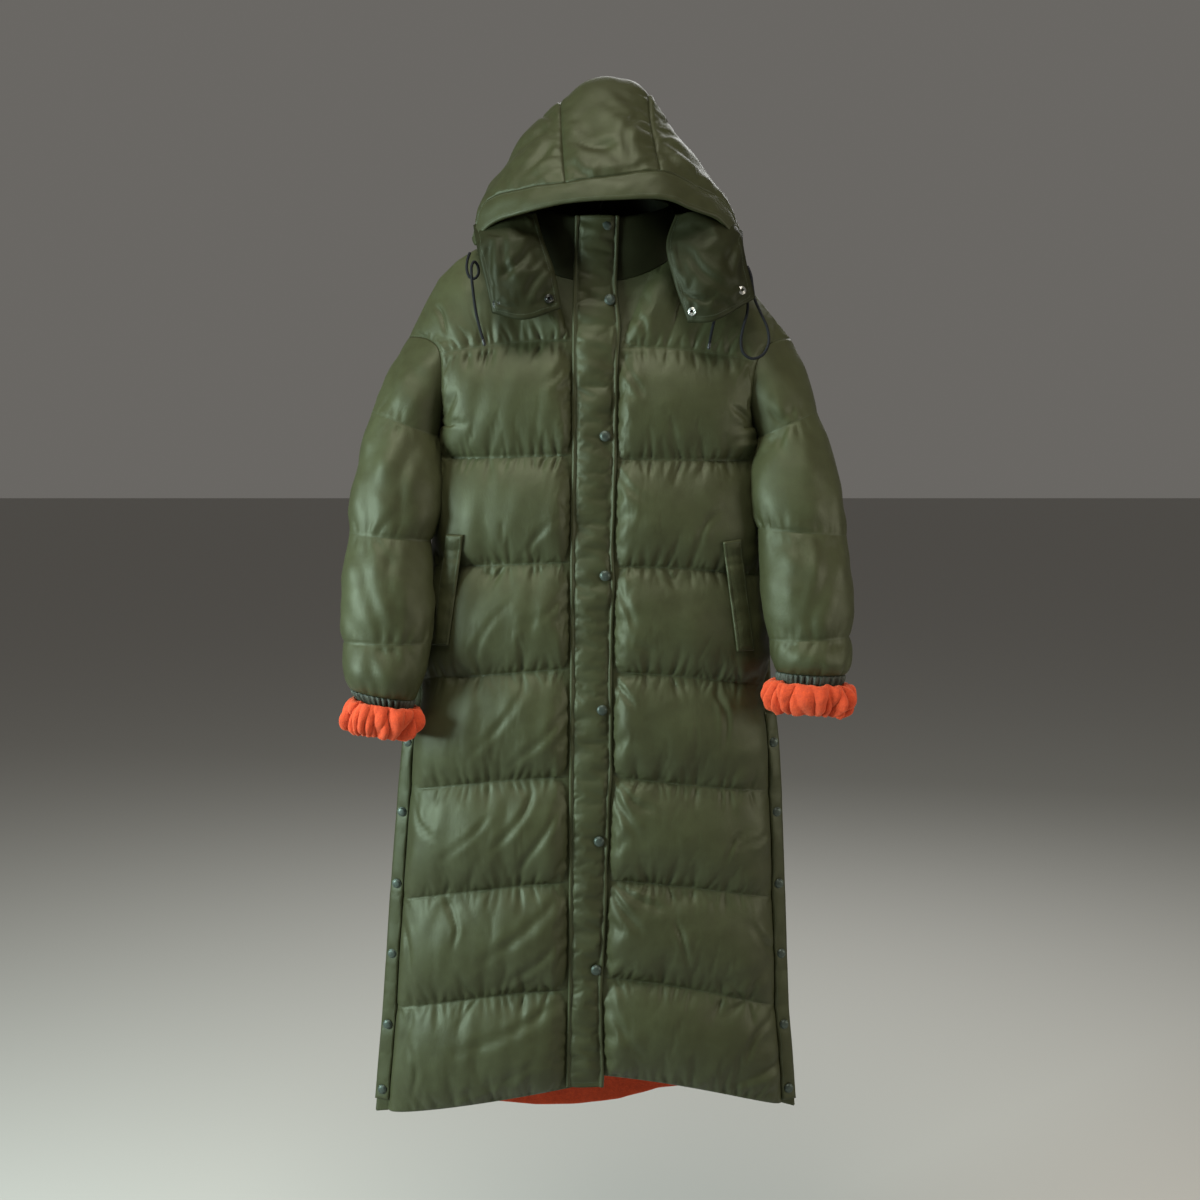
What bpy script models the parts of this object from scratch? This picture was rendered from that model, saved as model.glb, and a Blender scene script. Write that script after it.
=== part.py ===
"""A long hooded puffer coat, hanging empty on a plain hanger.

Metres, +Z up, +X to the wearer's left, -Y the coat's front. The origin is the crown of the
hanger's hook. Pieces are named by the wearer's side, so "right" lies at negative X.
Each cut piece is a wall: a plain inside, and an outside that puffs out between its quilting
lines. A piece's base is a grid of points, rows going down or along it and columns across it.
"""
import math

import bmesh
import bpy
import numpy as np

# Walls and clearances.
SEAM_TRIM = 0.0002          # each piece ends this far from the seam line it shares
WALL = 0.003                # shell, flattened filling and lining where they are sewn together
HOOD_WALL = 0.004
LINING_WALL = 0.0018
STRIP_WALL = 0.0026         # folded shell cloth with no filling
LAY_ON = 0.0006             # what lies on a panel clears it by this much
UNDERARM_EASE = 0.0012      # the sleeve clears the body by this much where they fold together
# The share of the swelling left round a sleeve's top band: none where it folds at the underarm.
UNDERARM_FLAT = (1.0, 1.0, 1.0, 0.9, 0.7, 0.35, 0.0, 0.0, 0.0, 0.0, 0.0, 0.35, 0.7, 0.9, 1.0, 1.0)

# How far the filling swells out between two quilting lines.
FRONT_PUFF = 0.021
YOKE_PUFF = 0.018
BACK_PUFF = 0.015
SLEEVE_PUFF = 0.008
SLEEVE_FACE_PUFF = 0.007    # added on the sleeve's front and back faces
HOOD_PUFF = 0.007
SIDE_PUFF = 0.0012          # what is left of the swelling at a side seam
SWELL_LEAN = 1.15           # over 1, a band swells most below its middle
SWELL_ROUND = 0.62          # under 1, it rises steeply from its lines
PLACKET_RISE = 0.16         # the share of a panel's width in which it rises beside the placket

# Quilting lines, from the line under the yoke down to the hem: the height of each on the right
# front (at the placket, halfway, at the side), on the left front, and at the back's centre.
QUILT_LINES = (
    # right: placket, half, side   left: placket, half, side   back centre
    (-0.2535, -0.2550, -0.2704, -0.2618, -0.2645, -0.2817, -0.268),
    (-0.4121, -0.4163, -0.4177, -0.4178, -0.4206, -0.4210, -0.424),
    (-0.5635, -0.5691, -0.5744, -0.5721, -0.5748, -0.5892, -0.585),
    (-0.7155, -0.7265, -0.7390, -0.7212, -0.7309, -0.7495, -0.747),
    (-0.8743, -0.8844, -0.9056, -0.8713, -0.8888, -0.9056, -0.909),
    (-1.0301, -1.0442, -1.0712, -1.0272, -1.0412, -1.0682, -1.073),
    (-1.1917, -1.2074, -1.2373, -1.1736, -1.1938, -1.2357, -1.238),
    (-1.3400, -1.3710, -1.3960, -1.3230, -1.3460, -1.3882, -1.412),
)

# Side seams below the armholes.
SIDE_SEAM = (
    # z, right x, left x, y
    (-1.396, -0.3365, 0.2925, -0.016),
    (-1.300, -0.3275, 0.2850, -0.016),
    (-1.235, -0.3215, 0.2790, -0.015),
    (-1.070, -0.3095, 0.2725, -0.014),
    (-0.905, -0.2955, 0.2655, -0.013),
    (-0.835, -0.2890, 0.2615, -0.012),
    (-0.740, -0.2700, 0.2505, -0.008),
    (-0.590, -0.2430, 0.2320, -0.004),
    (-0.500, -0.2290, 0.2190, -0.003),
    (-0.430, -0.2215, 0.2125, -0.003),
    (-0.385, -0.2255, 0.2160, -0.004),
    (-0.372, -0.2280, 0.2190, -0.004),
)

# The back's hem, which drops lowest right of the middle.
BACK_HEM = (
    # x, z
    (-0.3365, -1.3960),
    (-0.2000, -1.4010),
    (-0.1000, -1.4115),
    (-0.0300, -1.4100),
    (0.0300, -1.4020),
    (0.0900, -1.3850),
    (0.1600, -1.3760),
    (0.2925, -1.3882),
)

# The placket's two edges, and the depth of the fronts under it.
PLACKET = (
    # z, right edge x, free left edge x, y of the fronts
    (-1.345, -0.0502, 0.0044, -0.055),
    (-1.300, -0.0495, 0.0052, -0.057),
    (-1.208, -0.0470, 0.0030, -0.060),
    (-1.117, -0.0460, 0.0085, -0.063),
    (-0.996, -0.0451, 0.0130, -0.067),
    (-0.878, -0.0447, 0.0172, -0.071),
    (-0.704, -0.0429, 0.0185, -0.075),
    (-0.561, -0.0426, 0.0205, -0.076),
    (-0.420, -0.0396, 0.0225, -0.074),
    (-0.309, -0.0395, 0.0259, -0.070),
    (-0.225, -0.0392, 0.0290, -0.063),
    (-0.169, -0.0380, 0.0245, -0.054),
    (-0.120, -0.0365, 0.0262, -0.052),
    (-0.077, -0.0352, 0.0281, -0.051),
)
PLACKET_WALL = 0.0042
PLACKET_EASE = 0.0014       # it clears the collar's and the fronts' roundness by this much more
PLACKET_RAISE = (0.0, 0.0012, 0.0002, 0.0014, 0.0)   # across it: a soft valley between two ridges
PLACKET_TOP = -0.0775
PLACKET_FOOT = -1.342

BACK_DEPTH = (
    # z, y of the back
    (-1.420, 0.046),
    (-0.800, 0.052),
    (-0.420, 0.053),
    (-0.270, 0.051),
    (-0.170, 0.046),
    (-0.085, 0.036),
)

# Shoulder seams from the neck out to the dropped armholes.
SHOULDER_RIGHT = (
    # x, z
    (-0.1156, -0.1038),
    (-0.1445, -0.1070),
    (-0.1800, -0.1180),
    (-0.2060, -0.1340),
    (-0.2317, -0.1590),
    (-0.2508, -0.1930),
    (-0.2766, -0.2436),
)
SHOULDER_LEFT = (
    # x, z
    (0.1180, -0.1050),
    (0.1450, -0.1180),
    (0.1736, -0.1385),
    (0.2056, -0.1610),
    (0.2320, -0.1925),
    (0.2540, -0.2200),
    (0.2767, -0.2465),
)
NECK_FRONT_Z = -0.170       # the neckline at the front opening
NECK_POWERS = (0.90, 0.75, 1.30)    # how its x, y and z round from the opening to the shoulder
NECK_POINTS = 5             # from the opening to just before a shoulder seam
NECK_BACK = (
    # x, y, z between the shoulder seams
    (-0.075, 0.028, -0.090),
    (0.000, 0.036, -0.086),
    (0.075, 0.028, -0.090),
)
NECK_MIDDLE_Y = -0.008

# Armholes: top, front high, front corner, front low, underarm, back low, back corner, back high.
ARMHOLE_RIGHT = (
    # x, y, z
    (-0.2766, 0.005, -0.2436),
    (-0.2467, -0.030, -0.2491),
    (-0.2275, -0.052, -0.2704),
    (-0.2263, -0.050, -0.3300),
    (-0.2280, -0.004, -0.3720),
    (-0.2363, 0.040, -0.3300),
    (-0.2462, 0.046, -0.2728),
    (-0.2591, 0.030, -0.2519),
)
ARMHOLE_LEFT = (
    # x, y, z
    (0.2767, 0.005, -0.2465),
    (0.2467, -0.030, -0.2531),
    (0.2233, -0.052, -0.2817),
    (0.2163, -0.050, -0.3340),
    (0.2205, -0.008, -0.3720),
    (0.2300, 0.040, -0.3300),
    (0.2432, 0.046, -0.2748),
    (0.2606, 0.030, -0.2549),
)

# Sleeves: the quilting rings and the ring where the elastic starts.
SLEEVE_RINGS_RIGHT = (
    # outer x, outer z, inner x, inner z, y of the middle, half depth
    (-0.3269, -0.3510, -0.2345, -0.3870, -0.024, 0.044),
    (-0.3570, -0.5234, -0.2439, -0.5349, -0.057, 0.044),
    (-0.3632, -0.6773, -0.2417, -0.6784, -0.082, 0.042),
    (-0.3540, -0.7448, -0.2664, -0.7616, -0.086, 0.034),
)
SLEEVE_RINGS_LEFT = (
    # the same
    (0.3118, -0.3510, 0.2300, -0.3880, -0.020, 0.044),
    (0.3514, -0.5277, 0.2280, -0.5170, -0.057, 0.044),
    (0.3531, -0.6700, 0.2431, -0.6740, -0.082, 0.042),
    (0.3471, -0.7245, 0.2545, -0.7203, -0.086, 0.035),
)
CUFF_FOOT_RIGHT = (-0.3414, -0.7600, -0.2750, -0.7782, -0.087, 0.028)
CUFF_FOOT_LEFT = (0.3415, -0.7410, 0.2575, -0.7370, -0.087, 0.031)
TOP_BAND_SHARE = 0.6        # of a sleeve's swelling, in its band below the armhole
INNER_PRESS = 0.004         # the swelling that the side of the body presses out of a sleeve
ELASTIC_BULGE = 0.0012
CUFF_POINTS = 16            # round an elastic

# The lining's frill below each elastic: how far it stands out, and how far along the sleeve.
FRILL_PROFILE = (
    # out, along, share of the waves
    (0.0010, 0.0014, 0.0),
    (0.0150, -0.0025, 0.6),
    (0.0200, 0.0125, 1.0),
    (0.0155, 0.0295, 1.0),
    (0.0060, 0.0395, 0.7),
)
FRILL_WAVES = 12
FRILL_STEPS = 5             # points round one wave
FRILL_DEPTH = 0.0042
FRILL_UNEVEN = (3, 0.25, 0.7)       # a second run of waves: how many more, its share, its shift
FRILL_WALL = 0.0026
FRILL_SHIFT_RIGHT = -0.013  # the frill leans outwards on the right cuff
FRILL_SHIFT_LEFT = 0.0005

# Hood: arches from the brim's edge, over the crown, to the back of the neck.
HOOD_RINGS = (
    # right end, two points up the side, right seam, crown, left seam, two points down, left end
    ((-0.176, -0.050, -0.118), (-0.150, -0.082, -0.093), (-0.098, -0.115, -0.081),
     (-0.0436, -0.130, -0.0717), (0.020, -0.142, -0.069), (0.0854, -0.140, -0.068),
     (0.125, -0.124, -0.079), (0.170, -0.092, -0.093), (0.200, -0.055, -0.135)),
    ((-0.180, -0.040, -0.108), (-0.158, -0.066, -0.060), (-0.105, -0.098, -0.048),
     (-0.0465, -0.120, -0.0433), (0.018, -0.130, -0.036), (0.082, -0.122, -0.0285),
     (0.128, -0.100, -0.043), (0.178, -0.062, -0.068), (0.205, -0.040, -0.135)),
    ((-0.180, -0.025, -0.105), (-0.150, -0.040, -0.045), (-0.103, -0.068, -0.016),
     (-0.0496, -0.098, -0.0088), (0.015, -0.104, 0.003), (0.0761, -0.092, 0.0066),
     (0.121, -0.066, -0.010), (0.170, -0.035, -0.058), (0.204, -0.020, -0.140)),
    ((-0.177, -0.012, -0.104), (-0.139, -0.022, -0.025), (-0.100, -0.038, 0.018),
     (-0.0532, -0.060, 0.0430), (0.010, -0.062, 0.058), (0.0700, -0.058, 0.050),
     (0.110, -0.036, 0.017), (0.160, -0.016, -0.046), (0.200, -0.005, -0.138)),
    ((-0.172, 0.000, -0.105), (-0.1290, -0.005, -0.012), (-0.0880, -0.012, 0.047),
     (-0.0545, -0.018, 0.084), (0.005, -0.015, 0.110), (0.0670, -0.015, 0.096),
     (0.101, -0.012, 0.036), (0.1460, -0.005, -0.030), (0.196, 0.005, -0.132)),
    ((-0.160, 0.018, -0.101), (-0.128, 0.025, -0.020), (-0.088, 0.028, 0.036),
     (-0.054, 0.030, 0.080), (0.003, 0.032, 0.097), (0.060, 0.030, 0.086),
     (0.096, 0.028, 0.032), (0.138, 0.022, -0.030), (0.175, 0.018, -0.117)),
    ((-0.140, 0.030, -0.099), (-0.126, 0.050, -0.040), (-0.092, 0.060, 0.005),
     (-0.050, 0.065, 0.036), (0.002, 0.067, 0.046), (0.052, 0.065, 0.036),
     (0.092, 0.060, 0.003), (0.130, 0.048, -0.045), (0.150, 0.030, -0.108)),
    ((-0.1156, 0.010, -0.094), (-0.096, 0.038, -0.084), (-0.066, 0.055, -0.078),
     (-0.035, 0.064, -0.076), (0.000, 0.066, -0.075), (0.035, 0.064, -0.076),
     (0.066, 0.055, -0.079), (0.096, 0.038, -0.087), (0.1175, 0.010, -0.096)),
)
HOOD_SEAM_RIGHT = 3         # the seams' places in a row of that table
HOOD_SEAM_LEFT = 5
HOOD_ROW_STEPS = 2          # points from one arch to the next
HOOD_COLUMN_STEPS = 3       # points from one place on an arch to the next
HOOD_MIDDLE = (0.01, 0.0, -0.06)
HOOD_ROUND = 0.6            # under 1, its panels rise steeply from their seams

# The hood's throat tabs, hanging open: corners from the inner top, down and outwards.
TAB_RIGHT = (
    # top edge, middle, foot: three points of each, from the wearer's right to left
    ((-0.1668, -0.086, -0.1235), (-0.1200, -0.098, -0.1180), (-0.0768, -0.088, -0.1150)),
    ((-0.1600, -0.092, -0.1700), (-0.1150, -0.104, -0.1700), (-0.0630, -0.094, -0.1600)),
    ((-0.1500, -0.096, -0.2172), (-0.1050, -0.107, -0.2270), (-0.0530, -0.098, -0.2105)),
)
TAB_LEFT = (
    # the same
    ((0.0900, -0.096, -0.1240), (0.1450, -0.104, -0.1160), (0.1960, -0.082, -0.1220)),
    ((0.1030, -0.100, -0.1750), (0.1560, -0.112, -0.1700), (0.2060, -0.086, -0.1560)),
    ((0.1223, -0.102, -0.2309), (0.1600, -0.112, -0.2285), (0.2165, -0.090, -0.1960)),
)
TAB_STEPS = 3
TAB_SNAPS_RIGHT = ((-0.1430, -0.2048), (-0.0708, -0.1979))
TAB_SNAPS_LEFT = ((0.1278, -0.2158), (0.1965, -0.1859))

# Collar: a stand of two curves, the neckline and this top edge.
COLLAR_TOP = (
    # x, y, z from the right front end round the back to the left front end
    (-0.0100, -0.0500, -0.0790),
    (-0.0450, -0.0480, -0.0760),
    (-0.0850, -0.0250, -0.0620),
    (-0.0960, 0.0000, -0.0500),
    (-0.0650, 0.0260, -0.0380),
    (0.0000, 0.0330, -0.0340),
    (0.0650, 0.0260, -0.0390),
    (0.0980, 0.0000, -0.0520),
    (0.0880, -0.0250, -0.0640),
    (0.0450, -0.0480, -0.0760),
    (-0.0070, -0.0500, -0.0790),
)
COLLAR_PUFF = 0.0035
COLLAR_RISE = (0.0, 0.9, 1.0, 0.9, 0.0)     # up the stand: the share of its swelling
COLLAR_FLAT = 3             # points at each front end, under the placket, that don't swell
COLLAR_LEAN = 0.002         # how far its middle stands out from a straight line
COLLAR_EASE = 0.0004        # its foot and front ends clear the fronts by this much

# Pocket welts on the fronts: the x and z of the top corners and the foot's.
WELT_RIGHT = ((-0.2185, -0.5256), (-0.1940, -0.5266), (-0.2411, -0.6859), (-0.2164, -0.6847))
WELT_LEFT = ((0.1743, -0.5363), (0.2006, -0.5327), (0.1956, -0.6934), (0.2212, -0.6932))
WELT_WALL = 0.0040
WELT_ROWS = 9
WELT_CLEAR = 0.0022         # it bridges the front's swelling, so it stands off by this much

# The side vents, closed by snaps: below their head each front ends in a flat, forward-facing
# edge that laps the back, and a strip lies on it.
VENT_HEAD = -0.700
VENT_FULL = -0.780
EDGE_SLOPE = 0.0035         # how far the flat edge leans back
STRIP_TOP = -0.790
STRIP_FOOT = -1.376
STRIP_SHARES = (0.04, 0.50, 0.96)   # across the flat edge

# Snaps.
SNAP_RADIUS = 0.0075
SNAP_HEIGHT = 0.0030
SIDE_SNAP_RADIUS = 0.0068
RING_SNAP_RADIUS = 0.0062
RING_SNAP_HEIGHT = 0.0022
RING_SNAP_DISH = 0.5        # the share of its height that its middle is hollowed
SNAP_SIDES = 10
SNAP_PROFILE = ((1.0, 0.0), (1.0, 0.45), (0.62, 0.9))   # shares of the radius and the height
SIDE_SNAP_LIFT = 0.0005
TAB_SNAP_LIFT = 0.0004
PLACKET_SNAPS = ((0.0085, -0.0926), (0.0135, -0.1956), (0.0070, -0.3870), (0.0071, -0.5842),
                 (0.0029, -0.7771), (-0.0014, -0.9696), (-0.0058, -1.1620))
SIDE_SNAPS = (-0.8346, -0.9382, -1.0460, -1.1520, -1.2600, -1.3600)

# Drawcords, from the brim's ends to their tips.
CORD_RADIUS = 0.00175
TIP_RADIUS = 0.0023
TIP_LENGTH = 0.009
TIP_GAP = 0.0003
ROD_SIDES = 8
CORD_STEP = 0.0085          # from one point of the tube to the next
CORD_RIGHT = (
    (-0.1835, -0.060, -0.1300),
    (-0.1860, -0.068, -0.1400),
    (-0.1868, -0.0735, -0.1530),
    (-0.1835, -0.0760, -0.1640),
    (-0.1765, -0.0765, -0.1675),
    (-0.1705, -0.0750, -0.1610),
    (-0.1710, -0.0745, -0.1500),
    (-0.1760, -0.0770, -0.1440),
    (-0.1795, -0.0820, -0.1520),
    (-0.1790, -0.0840, -0.1680),
    (-0.1775, -0.0830, -0.1850),
    (-0.1755, -0.0830, -0.2020),
    (-0.1725, -0.0835, -0.2200),
    (-0.1680, -0.0840, -0.2380),
    (-0.1640, -0.0845, -0.2520),
)
CORD_LEFT = (
    (0.2080, -0.062, -0.1490),
    (0.2120, -0.070, -0.1620),
    (0.2140, -0.074, -0.1780),
    (0.2170, -0.077, -0.1960),
    (0.2260, -0.078, -0.2160),
    (0.2350, -0.078, -0.2360),
    (0.2370, -0.079, -0.2560),
    (0.2290, -0.082, -0.2730),
    (0.2130, -0.086, -0.2790),
    (0.2000, -0.087, -0.2700),
    (0.1975, -0.087, -0.2520),
    (0.2010, -0.087, -0.2330),
    (0.2060, -0.086, -0.2140),
    (0.2050, -0.084, -0.1960),
    (0.1930, -0.083, -0.1840),
    (0.1780, -0.084, -0.1880),
    (0.1680, -0.086, -0.2040),
    (0.1600, -0.087, -0.2260),
    (0.1560, -0.088, -0.2430),
    (0.1535, -0.088, -0.2570),
)

# Hanger.
HOOK_WIRE = 0.0018
HOOK_ROUND = 0.020          # radius of the hook's round
HOOK_TURN = (-38, -10, 20, 50, 80, 110, 140, 170, 200, 222)     # degrees round it
HOOK_STEM = ((0.0, 0.0, -0.1236), (0.0, 0.0, -0.090), (0.0, 0.0, -0.062), (0.004, 0.0, -0.048))
HANGER_LINE = (
    # x, z of the bar's middle
    (-0.198, -0.1620),
    (-0.150, -0.1420),
    (-0.090, -0.1330),
    (0.000, -0.1290),
    (0.090, -0.1360),
    (0.150, -0.1520),
    (0.200, -0.1830),
)
HANGER_HALF_WIDTH = 0.0060
HANGER_HALF_HEIGHT = 0.0050
HANGER_SIDES = 10
HANGER_END = 0.6            # its ends' size, as a share of the bar's

# Columns of a front panel beyond the placket's edge and of the back, and a quilted band's rows.
PANEL_COLUMNS = (0.0, 0.10, 0.22, 0.36, 0.50, 0.64, 0.77, 0.87, 0.945, 1.0)
BACK_COLUMNS = (0.0, 0.035, 0.12, 0.26, 0.40, 0.50, 0.60, 0.74, 0.88, 0.965, 1.0)
BAND_ROWS = (0.0, 0.17, 0.48, 0.82, 1.0)
YOKE_SHARES = (0.0, 0.34, 0.68, 0.90)   # from the shoulder and neck down to the yoke's line
YOKE_ROWS = len(YOKE_SHARES)
UNDERARM = 8                # the underarm's place among an armhole's points
ARMHOLE_POINTS = 16
BELOW_UNDERARM = 0.87       # the row between the underarm and the next quilting line
FRONT_POWER = 2.3           # how flat the front is before it rounds into the side
BACK_POWER = 4.0
BACK_YOKE_BOW = 0.010       # how far the back's yoke bows out between the shoulders and its line

# Finishes: colour, roughness and, for metal, how metallic.
NYLON = ((0.060, 0.075, 0.045), 0.45)
NYLON_TRIM = ((0.050, 0.064, 0.038), 0.45)
ELASTIC = ((0.020, 0.026, 0.018), 0.8)
FLEECE = ((0.800, 0.090, 0.015), 0.95)
DARK_SNAP = ((0.060, 0.075, 0.060), 0.3, 0.6)
STEEL = ((0.450, 0.450, 0.430), 0.3, 1.0)
CORD_BLACK = ((0.012, 0.013, 0.018), 0.7)
WOOD = ((0.420, 0.270, 0.140), 0.5)


def clear_scene():
    """Start from an empty scene."""
    for item in list(bpy.data.objects):
        bpy.data.objects.remove(item, do_unlink=True)


def finish(name, colour, roughness, metallic=0.0):
    """One material of its own for each piece."""
    made = bpy.data.materials.new(name)
    made.use_nodes = True
    shader = made.node_tree.nodes["Principled BSDF"]
    shader.inputs["Base Color"].default_value = (*colour, 1.0)
    shader.inputs["Roughness"].default_value = roughness
    shader.inputs["Metallic"].default_value = metallic
    return made


def link(name, mesh, look):
    made = bpy.data.objects.new(name, mesh)
    mesh.materials.append(finish(name + "_finish", *look))
    mesh.shade_smooth()
    mesh.set_sharp_from_angle(angle=math.radians(40))
    bpy.context.scene.collection.objects.link(made)
    return made


def solid(name, verts, faces, look):
    """A closed body from points and faces, turned so that its faces point out."""
    shape = bmesh.new()
    made = [shape.verts.new(point) for point in verts]
    for face in faces:
        shape.faces.new([made[index] for index in face])
    bmesh.ops.triangulate(shape, faces=shape.faces[:])
    if shape.calc_volume(signed=True) < 0:
        bmesh.ops.reverse_faces(shape, faces=shape.faces[:])
    mesh = bpy.data.meshes.new(name)
    shape.to_mesh(mesh)
    shape.free()
    return link(name, mesh, look)


def wall(name, outer, inner, look, closed=False):
    """A wall between two grids of points; closed joins its last column to its first."""
    rows, columns = outer.shape[:2]
    verts = np.concatenate((outer.reshape(-1, 3), inner.reshape(-1, 3)))
    inside = rows * columns
    spans = columns if closed else columns - 1
    faces = []
    for row in range(rows - 1):
        for column in range(spans):
            right = (column + 1) % columns
            a, b = row * columns + column, row * columns + right
            c, d = a + columns, b + columns
            faces.append((a, b, d, c))
            faces.append((a + inside, c + inside, d + inside, b + inside))
    foot = (rows - 1) * columns
    for column in range(spans):
        right = (column + 1) % columns
        faces.append((column, column + inside, right + inside, right))
        faces.append((foot + column, foot + right, foot + right + inside, foot + column + inside))
    if not closed:
        for row in range(rows - 1):
            a, c = row * columns, (row + 1) * columns
            faces.append((a, c, c + inside, a + inside))
            b, d = a + columns - 1, c + columns - 1
            faces.append((b, b + inside, d + inside, d))
    return solid(name, verts.tolist(), faces, look)


def unit(vectors):
    return vectors / np.maximum(np.linalg.norm(vectors, axis=-1, keepdims=True), 1e-9)


def table(rows, at):
    """The columns of a table at one value of its first, which rises from row to row."""
    rows = np.array(rows)
    return [float(np.interp(at, rows[:, 0], rows[:, k])) for k in range(1, rows.shape[1])]


def curve_through(points, steps, closed=False):
    """A smooth run of points through the given ones, with steps from each to the next."""
    keys = np.array(points, dtype=float)
    if closed:
        before, after = keys[-1:], keys[:2]
        count = len(keys)
    else:
        before, after = 2 * keys[:1] - keys[1:2], 2 * keys[-1:] - keys[-2:-1]
        count = len(keys) - 1
    run = np.concatenate((before, keys, after))
    made = []
    for k in range(count):
        p0, p1, p2, p3 = run[k:k + 4]
        for step in range(steps):
            t = step / steps
            made.append(0.5 * (2 * p1 + (p2 - p0) * t + (2 * p0 - 5 * p1 + 4 * p2 - p3) * t ** 2
                               + (3 * p1 - p0 - 3 * p2 + p3) * t ** 3))
    if not closed:
        made.append(keys[-1])
    return np.array(made)


def along(points, shares):
    """Points at the given shares of a run's length."""
    points = np.array(points, dtype=float)
    steps = np.linalg.norm(np.diff(points, axis=0), axis=1)
    reach = np.concatenate(([0.0], np.cumsum(steps))) / steps.sum()
    return np.stack([np.interp(shares, reach, points[:, k]) for k in range(points.shape[1])],
                    axis=1)


def facing(grid, towards, closed=False):
    """Unit normals of a grid, on the side that the vector or grid of vectors towards points."""
    if closed:
        across = np.roll(grid, -1, axis=1) - np.roll(grid, 1, axis=1)
    else:
        across = np.gradient(grid, axis=1)
    down = np.gradient(grid, axis=0)
    normal = unit(np.cross(down, across))
    turned = np.sum(normal * towards, axis=-1, keepdims=True)
    return normal * np.where(np.median(turned) < 0, -1.0, 1.0)


def trim(grid, edges, by=SEAM_TRIM):
    """Draw the named edges of a grid back from their seam."""
    drawn = grid.copy()
    if "top" in edges:
        drawn[0] += unit(grid[1] - grid[0]) * by
    if "foot" in edges:
        drawn[-1] += unit(grid[-2] - grid[-1]) * by
    if "first" in edges:
        drawn[:, 0] += unit(grid[:, 1] - grid[:, 0]) * by
    if "last" in edges:
        drawn[:, -1] += unit(grid[:, -2] - grid[:, -1]) * by
    return drawn


def swell(t):
    """The share of the swelling down a quilted band, from its upper line, 0, to its lower, 1."""
    return max(math.sin(math.pi * t ** SWELL_LEAN), 0.0) ** SWELL_ROUND


def cross_line(share, start, half, end):
    """A sewn line's height across a panel, through three heights."""
    return (start * (1 - share) * (1 - 2 * share) + half * 4 * share * (1 - share)
            + end * share * (2 * share - 1))


def armhole(keys):
    """The points round an armhole from the shoulder, by the front, and its outward spokes."""
    ring = curve_through(keys, ARMHOLE_POINTS // len(keys), closed=True)
    middle = ring.mean(axis=0)
    axis = unit(np.cross(ring[0] - ring[UNDERARM], ring[UNDERARM // 2] - ring[-UNDERARM // 2]))
    if axis[0] * middle[0] < 0:
        axis = -axis
    spokes = ring - middle
    spokes = unit(spokes - np.outer(spokes @ axis, axis))
    return ring, spokes


def neckline(side):
    """The neck's edge from the front opening to just before the shoulder seam."""
    shoulder_x, shoulder_z = SHOULDER_RIGHT[0] if side < 0 else SHOULDER_LEFT[0]
    opening = opening_x(NECK_FRONT_Z)
    power_x, power_y, power_z = NECK_POWERS
    made = []
    for angle in np.linspace(0.0, math.pi / 2, NECK_POINTS + 1)[:-1]:
        along_x, along_z = math.sin(angle), math.cos(angle)
        made.append((opening + (shoulder_x - opening) * along_x ** power_x,
                     front_depth(NECK_FRONT_Z) * along_z ** power_y,
                     shoulder_z + (NECK_FRONT_Z - shoulder_z) * along_z ** power_z))
    return np.array(made)


def back_neckline():
    """The neck's edge across the back, from shoulder seam to shoulder seam."""
    (right_x, right_z), (left_x, left_z) = SHOULDER_RIGHT[0], SHOULDER_LEFT[0]
    keys = ((right_x, 0.0, right_z), *NECK_BACK, (left_x, 0.0, left_z))
    return along(curve_through(keys, 4), np.linspace(0, 1, 5))


def opening_x(z):
    """Where the two fronts meet, under the placket."""
    right, left, _ = table(PLACKET, z)
    return 0.5 * (right + left)


def front_depth(z):
    return table(PLACKET, z)[2]


def placket_edge(side, z):
    right, left, _ = table(PLACKET, z)
    return right if side < 0 else left


def vent(z):
    """How far a side's edge has turned flat at one height, from 0 to 1."""
    t = min(max((VENT_HEAD - z) / (VENT_HEAD - VENT_FULL), 0.0), 1.0)
    return t * t * (3 - 2 * t)


def front_row(side, line, end):
    """One row of a front panel: line holds its heights, end the point at its outer edge."""
    opening = opening_x(line[0])
    edge = placket_edge(side, line[0])
    places = [opening, 0.5 * (opening + edge)]
    places += [edge + (end[0] - edge) * share for share in PANEL_COLUMNS]
    flat = vent(end[2])
    edge_share = (places[-2] - opening) / (end[0] - opening)
    row = []
    for x in places:
        share = (x - opening) / (end[0] - opening)
        bend = min(share / (1 + (edge_share - 1) * flat), 1.0)
        rounded = max(1 - bend ** FRONT_POWER, 0.0) ** (1 / FRONT_POWER)
        lean = -EDGE_SLOPE * flat * min((1 - share) / (1 - edge_share), 1.0)
        z = cross_line(share, *line)
        row.append((x, end[1] + lean + (front_depth(line[0]) - end[1] - lean) * rounded, z))
    row[-1] = tuple(end)
    return row


def side_point(side, z):
    right, left, y = table(SIDE_SEAM, z)
    return right if side < 0 else left, y, z


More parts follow.
